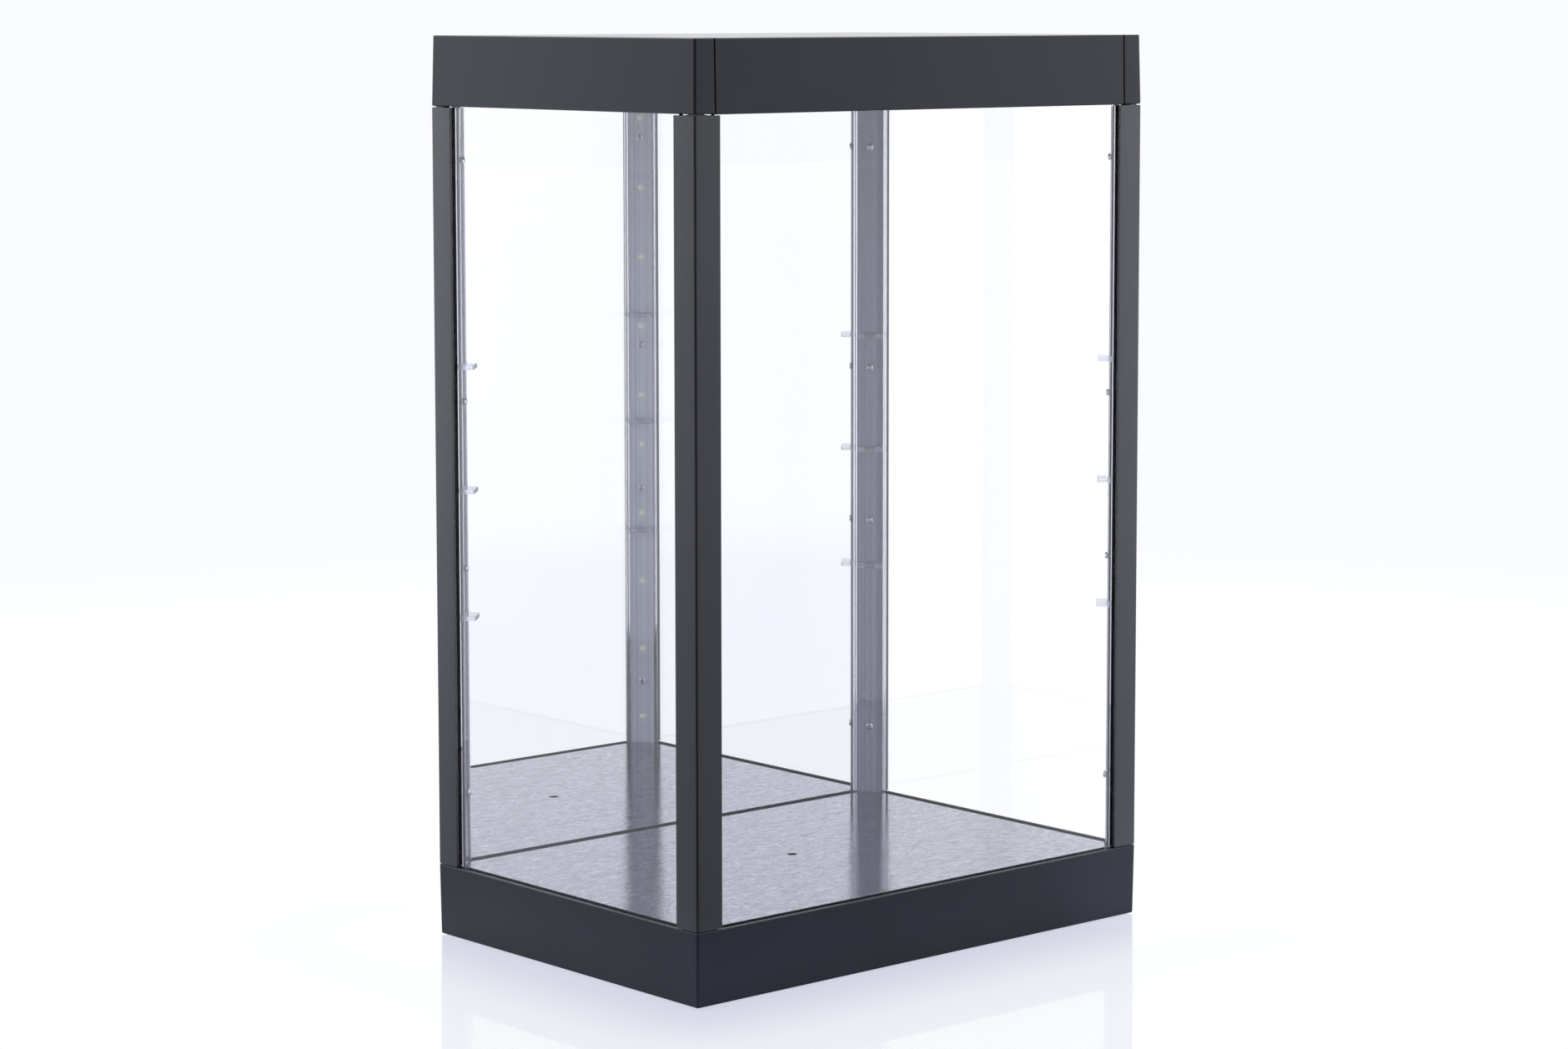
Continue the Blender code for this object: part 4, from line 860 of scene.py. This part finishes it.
def for_rays(tree, shader, rays, other):
    """Shows another shader to one kind of ray."""
    output = next(node for node in tree.nodes if node.type == "OUTPUT_MATERIAL")
    path = add_node(tree, "ShaderNodeLightPath")
    tree.links.new(
        mix_shaders(tree, path.outputs[rays], shader.outputs["BSDF"], other.outputs[0]),
        output.inputs["Surface"])


def let_light_through(tree, shader):
    """Lets lamp light pass a clear piece instead of casting a solid shadow."""
    for_rays(tree, shader, "Is Shadow Ray", add_node(tree, "ShaderNodeBsdfTransparent"))


def clear_extrusion(name, dark, light):
    """Slightly hazy clear acrylic with the die's fine lines along its length."""
    look, tree, shader = new_look(name)
    lines = use_group(tree, drawn_lines, {"Across": 2600.0, "Along": 3.0})
    tree.links.new(
        mix_colours(tree, lines.outputs["Lines"], dark, light), shader.inputs["Base Color"])
    tree.links.new(
        spread(tree, lines.outputs["Lines"], *COVER_ROUGHNESS), shader.inputs["Roughness"])
    shader.inputs["Transmission Weight"].default_value = COVER_CLEARNESS
    shader.inputs["IOR"].default_value = ACRYLIC_INDEX
    let_light_through(tree, shader)
    return look


def milky_film(name, dark, light, coverage):
    """Film that hides what lies behind it to the given share, in faint upright bands."""
    look, tree, shader = new_look(name)
    bands = use_group(tree, drawn_lines, {"Across": 900.0, "Along": 0.1})
    shade = spread(tree, bands.outputs["Lines"], 0.0, 1.0, *FILM_BAND_ENDS)
    tree.links.new(mix_colours(tree, shade, dark, light), shader.inputs["Base Color"])
    tree.links.new(
        spread(tree, bands.outputs["Lines"], *coverage, *FILM_BAND_ENDS),
        shader.inputs["Alpha"])
    shader.inputs["Roughness"].default_value = FILM_ROUGHNESS
    return look


# Front and rear are one stock in a lit and a shaded copy; the rear's darker colours are painted
# shade.
cover_looks = {
    "front": clear_extrusion("front_cover", FRONT_COVER_DARK, FRONT_COVER_LIGHT),
    "rear": clear_extrusion("rear_cover_painted_shade", REAR_COVER_SHADED_DARK, REAR_COVER_SHADED_LIGHT),
}
film_looks = {
    "front": milky_film("milky_film", FRONT_FILM_DARK, FRONT_FILM_LIGHT, FRONT_FILM_COVERAGE),
    "rear": milky_film("thin_milky_film_painted_shade", REAR_FILM_SHADED_DARK, REAR_FILM_SHADED_LIGHT, REAR_FILM_COVERAGE),
}
film_holes = [round_hole(level, FILM_HOLE_RADIUS) for level in SCREW_LEVELS]
film_holes += [
    square_hole(level, FILM_SLOT_HALF_HEIGHT, FILM_SLOT_HALF_WIDTH) for level in TAB_LEVELS]
film_meshes = []
for corner in CORNER_TURNS:
    end = corner.split("_")[0]
    ease_edges(dress("cover_" + corner, cover_looks[end]), COVER_ROUNDING)
    film = holed_plate(FILM_WIDTH, FILM_LOW, FILM_HIGH, FILM_THICKNESS, film_holes)
    film.transform(corner_matrix(corner) @ Matrix.Translation((FILM_BACK, 0.0, 0.0)))
    film.materials.append(film_looks[end])
    film_meshes.append(film)
cover_films = gather("cover_films", film_meshes, "base")

# Cover screws
# Small nickelled pan-head screws with a cross recess, four to each cover, driven through
# cover and strip into the post. A head's middle is painted dark grey, a painted reflection
# of the dim room, and its rim mirrors bright.

# Dark grey painted into the head's middle: a painted reflection of the dim side of the room.
SCREW_MIDDLE_PAINTED_DARK = (0.24, 0.24, 0.27, 1.0)
NICKEL_DARK = (0.70, 0.70, 0.74, 1.0)
NICKEL_LIGHT = (0.86, 0.86, 0.90, 1.0)
NICKEL_ROUGHNESS = (0.14, 0.26)
NICKEL_GRAIN_DEPTH = 0.00001
SCREW_SEAT = 0.01413
SCREW_HEAD_RADIUS = 0.0016
SCREW_HEAD_RISE = 0.0010
SCREW_RIM_SHARE = 0.7
SCREW_SHANK_RADIUS = 0.00095
SCREW_LENGTH = 0.0082
SCREW_SLOT_LENGTH = 0.0019
SCREW_SLOT_WIDTH = 0.0006
SCREW_SLOT_DEPTH = 0.0007
SCREW_SLOT_TAPER = 0.55
SCREW_SIDES = 32
SCREW_FIRST_TURN = 0.4
SCREW_NEXT_TURN = 1.3

# The head's outline from its middle to its edge, in shares of its radius and its rise
SCREW_HEAD_OUTLINE = (
    (0.0, 1.0), (0.62, 0.99), (0.76, 0.88), (0.92, 0.60), (1.0, 0.26), (0.97, 0.0))

screw_look, screw_tree, screw_shader = new_look("nickelled_screw")
screw_skin = use_group(screw_tree, mould_skin, {"Grain Scale": 4200.0, "Cloud Scale": 500.0})
screw_rim = add_node(screw_tree, "ShaderNodeAttribute", attribute_name="rim")
screw_metal = mix_colours(screw_tree, screw_skin.outputs["Clouds"], NICKEL_DARK, NICKEL_LIGHT)
# The rim mask gives the rim the nickel's colour and the middle the painted dark reflection.
screw_tree.links.new(
    mix_colours(screw_tree, screw_rim.outputs["Fac"], SCREW_MIDDLE_PAINTED_DARK, screw_metal),
    screw_shader.inputs["Base Color"])
screw_tree.links.new(
    spread(screw_tree, screw_skin.outputs["Clouds"], *NICKEL_ROUGHNESS),
    screw_shader.inputs["Roughness"])
screw_shader.inputs["Metallic"].default_value = 1.0
raise_surface(screw_tree, screw_shader, screw_skin.outputs["Grain"], NICKEL_GRAIN_DEPTH)

profile = [(SCREW_HEAD_RADIUS * out, SCREW_HEAD_RISE * up) for out, up in SCREW_HEAD_OUTLINE]
profile += [
    (SCREW_SHANK_RADIUS, 0.0),
    (SCREW_SHANK_RADIUS, -SCREW_LENGTH + SCREW_SHANK_RADIUS),
    (0.0, -SCREW_LENGTH),
]
screw_shape = bmesh.new()
half = [screw_shape.verts.new((radius, 0.0, height)) for radius, height in profile]
seams = [screw_shape.edges.new(pair) for pair in zip(half, half[1:])]
bmesh.ops.spin(
    screw_shape, geom=half + seams, cent=(0.0, 0.0, 0.0), axis=(0.0, 0.0, 1.0),
    angle=math.tau, steps=SCREW_SIDES, use_merge=True)
bmesh.ops.remove_doubles(screw_shape, verts=screw_shape.verts, dist=WELD_DISTANCE)
bmesh.ops.recalc_face_normals(screw_shape, faces=screw_shape.faces)
screw_mesh = bpy.data.meshes.new("screw")
screw_shape.to_mesh(screw_mesh)
screw_shape.free()
rim_mask = screw_mesh.attributes.new("rim", "FLOAT", "POINT")
for vertex, on_rim in zip(screw_mesh.vertices, rim_mask.data):
    reach = math.hypot(vertex.co.x, vertex.co.y)
    on_rim.value = float(reach > SCREW_HEAD_RADIUS * SCREW_RIM_SHARE)
screw = new_object("screw", screw_mesh)
for turn in (0.0, math.pi / 2):
    slot_shape = bmesh.new()
    bmesh.ops.create_cube(slot_shape, size=1.0)
    bmesh.ops.scale(
        slot_shape, vec=(SCREW_SLOT_LENGTH, SCREW_SLOT_WIDTH, SCREW_SLOT_DEPTH * 2),
        verts=slot_shape.verts)
    for vertex in slot_shape.verts:
        if vertex.co.z < 0:
            vertex.co.x *= SCREW_SLOT_TAPER
    bmesh.ops.rotate(slot_shape, verts=slot_shape.verts, matrix=Matrix.Rotation(turn, 3, "Z"))
    bmesh.ops.translate(slot_shape, vec=(0.0, 0.0, SCREW_HEAD_RISE), verts=slot_shape.verts)
    slot_mesh = bpy.data.meshes.new("slot")
    slot_shape.to_mesh(slot_mesh)
    slot_shape.free()
    slot = new_object("slot", slot_mesh)
    recess = screw.modifiers.new("recess", "BOOLEAN")
    recess.object = slot
    recess.solver = "EXACT"
    cut_mesh = settled_mesh(screw)
    screw.modifiers.clear()
    screw.data = cut_mesh
    bpy.data.objects.remove(slot, do_unlink=True)

# Every screw is set out on a point that carries its turn
screw_row, points_in, points_out = new_rule(
    "screws_on_points", {"Screw": "Object", "Size": "Float"})
points_turn = add_node(
    screw_row, "GeometryNodeInputNamedAttribute", {"Name": "turn"}, data_type="FLOAT_VECTOR")
points_euler = add_node(screw_row, "FunctionNodeEulerToRotation")
points_source = add_node(screw_row, "GeometryNodeObjectInfo")
points_place = add_node(screw_row, "GeometryNodeInstanceOnPoints")
points_solid = add_node(screw_row, "GeometryNodeRealizeInstances")
points_finish = add_node(screw_row, "GeometryNodeSetMaterial", {"Material": screw_look})
screw_row.links.new(points_in.outputs["Geometry"], points_place.inputs["Points"])
screw_row.links.new(points_in.outputs["Screw"], points_source.inputs["Object"])
screw_row.links.new(points_source.outputs["Geometry"], points_place.inputs["Instance"])
screw_row.links.new(points_in.outputs["Size"], points_place.inputs["Scale"])
screw_row.links.new(points_turn.outputs["Attribute"], points_euler.inputs[0])
screw_row.links.new(points_euler.outputs[0], points_place.inputs["Rotation"])
screw_row.links.new(points_place.outputs["Instances"], points_solid.inputs["Geometry"])
screw_row.links.new(points_solid.outputs["Geometry"], points_finish.inputs["Geometry"])
screw_row.links.new(points_finish.outputs["Geometry"], points_out.inputs["Geometry"])

screw_points = bpy.data.meshes.new("cover_screws")
screw_places = []
screw_turns = []
for corner, (side_x, side_y, turn) in CORNER_TURNS.items():
    inward = Matrix.Rotation(turn + DIAGONAL, 3, "Z") @ Matrix.Rotation(math.pi / 2, 3, "Y")
    for index, level in enumerate(SCREW_LEVELS):
        spin = Matrix.Rotation(SCREW_FIRST_TURN + SCREW_NEXT_TURN * index, 3, "Z")
        screw_places.append(tuple(corner_matrix(corner) @ Vector((SCREW_SEAT, 0.0, level))))
        screw_turns += (inward @ spin).to_euler()
screw_points.from_pydata(screw_places, [], [])
turns = screw_points.attributes.new("turn", "FLOAT_VECTOR", "POINT")
turns.data.foreach_set("vector", screw_turns)
cover_screws = new_object("cover_screws", screw_points)
screw_rule = cover_screws.modifiers.new("screws_on_points", "NODES")
screw_rule.node_group = screw_row
set_input(screw_rule, "Screw", screw)
set_input(screw_rule, "Size", 1.0)
screws_made = settled_mesh(cover_screws)
cover_screws.modifiers.clear()
cover_screws.data = screws_made
bpy.data.objects.remove(screw, do_unlink=True)
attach(cover_screws, "base")
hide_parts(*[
    "screw_" + corner + "_" + str(index + 1)
    for corner in CORNER_TURNS for index in range(len(SCREW_LEVELS))])

# Shelf tabs
# Small clear brackets, moulded, pushed into the covers' slots. Their rounded edges catch
# the light.

TAB_DARK = (0.78, 0.80, 0.90, 1.0)
TAB_LIGHT = (0.86, 0.88, 0.97, 1.0)
TAB_ROUNDING = 0.00015

tab_look, tab_tree, tab_shader = clouded_look(
    "clear_moulding", {"Grain Scale": 1500.0, "Cloud Scale": 300.0}, TAB_DARK, TAB_LIGHT,
    roughness=(0.02, 0.08), constants={"Transmission Weight": 0.88, "IOR": ACRYLIC_INDEX},
    depth=0.00001)
let_light_through(tab_tree, tab_shader)
for corner in CORNER_TURNS:
    for index in range(len(TAB_LEVELS)):
        ease_edges(dress("tab_" + corner + "_" + str(index + 1), tab_look), TAB_ROUNDING)

# Side sheets and door sheet
# Clear cast acrylic, 2 mm thick, polished, with faint smears from handling.

SHEET_SMEARED = (0.99, 0.993, 1.0, 1.0)
SHEET_CLEAN = (1.0, 1.0, 1.0, 1.0)
SMEAR_ENDS = (0.45, 0.75)

sheet_look, sheet_tree, sheet_shader = clouded_look(
    "clear_acrylic_sheet", {"Grain Scale": 300.0, "Cloud Scale": 14.0}, SHEET_SMEARED,
    SHEET_CLEAN, roughness=(0.0, 0.012),
    constants={"Transmission Weight": 1.0, "IOR": ACRYLIC_INDEX}, ends=SMEAR_ENDS)
let_light_through(sheet_tree, sheet_shader)
for name in ("left_panel", "right_panel", "door_panel"):
    dress(name, sheet_look)

# Mirror
# An acrylic sheet with a mirror film on its front face, in the rear groove. Its edges and
# back show the grey stock of the sheet.

SILVER_DARK = (0.93, 0.935, 0.96, 1.0)
SILVER_LIGHT = (0.95, 0.955, 0.975, 1.0)
STOCK_DARK = (0.16, 0.165, 0.17, 1.0)
STOCK_LIGHT = (0.20, 0.205, 0.21, 1.0)
MIRROR_RETURN = 1.05
SILVER_DEPTH = 0.00012
SILVER_GAP = 0.00002

# Rays that have left a dull surface get the room's plain light back from the mirror
silver_look, silver, silver_shader = clouded_look(
    "mirror_film", {"Cloud Scale": 9.0}, SILVER_DARK, SILVER_LIGHT, roughness=(0.0, 0.01),
    constants={"Metallic": 1.0})
for_rays(
    silver, silver_shader, "Diffuse Depth",
    add_node(silver, "ShaderNodeEmission", {"Color": ROOM_LIGHT, "Strength": MIRROR_RETURN}))
stock_look = moulded_plastic(
    "grey_sheet_stock", STOCK_DARK, STOCK_LIGHT, roughness=(0.5, 0.62),
    grain=(1400.0, 0.00003), dust_amount=0.0)


def slab(low, high, look):
    """A closed sheet between two corners."""
    shape = bmesh.new()
    bmesh.ops.create_cube(shape, size=1.0)
    for vertex in shape.verts:
        vertex.co = [a + (b - a) * (c + 0.5) for a, b, c in zip(low, high, vertex.co)]
    mesh = bpy.data.meshes.new("slab")
    shape.to_mesh(mesh)
    shape.free()
    mesh.materials.append(look)
    return mesh


mirror_low, mirror_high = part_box("back_mirror")
silver_back = mirror_low[1] + SILVER_DEPTH
stock_front = silver_back + SILVER_GAP
mirror_face = slab(mirror_low, (mirror_high[0], silver_back, mirror_high[2]), silver_look)
mirror_stock = slab((mirror_low[0], stock_front, mirror_low[2]), mirror_high, stock_look)
mirror = gather("mirror", [mirror_face, mirror_stock], "base")
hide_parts("back_mirror")

# Lid and door fascia
# A hollow black moulding that sits on the posts. Its front strip belongs to the door and is
# lifted with the door's sheet. A flat liner closes it from below.

for name in ("lid_shell", "lid_liner", "door_fascia"):
    ease_edges(dress(name, satin_black))
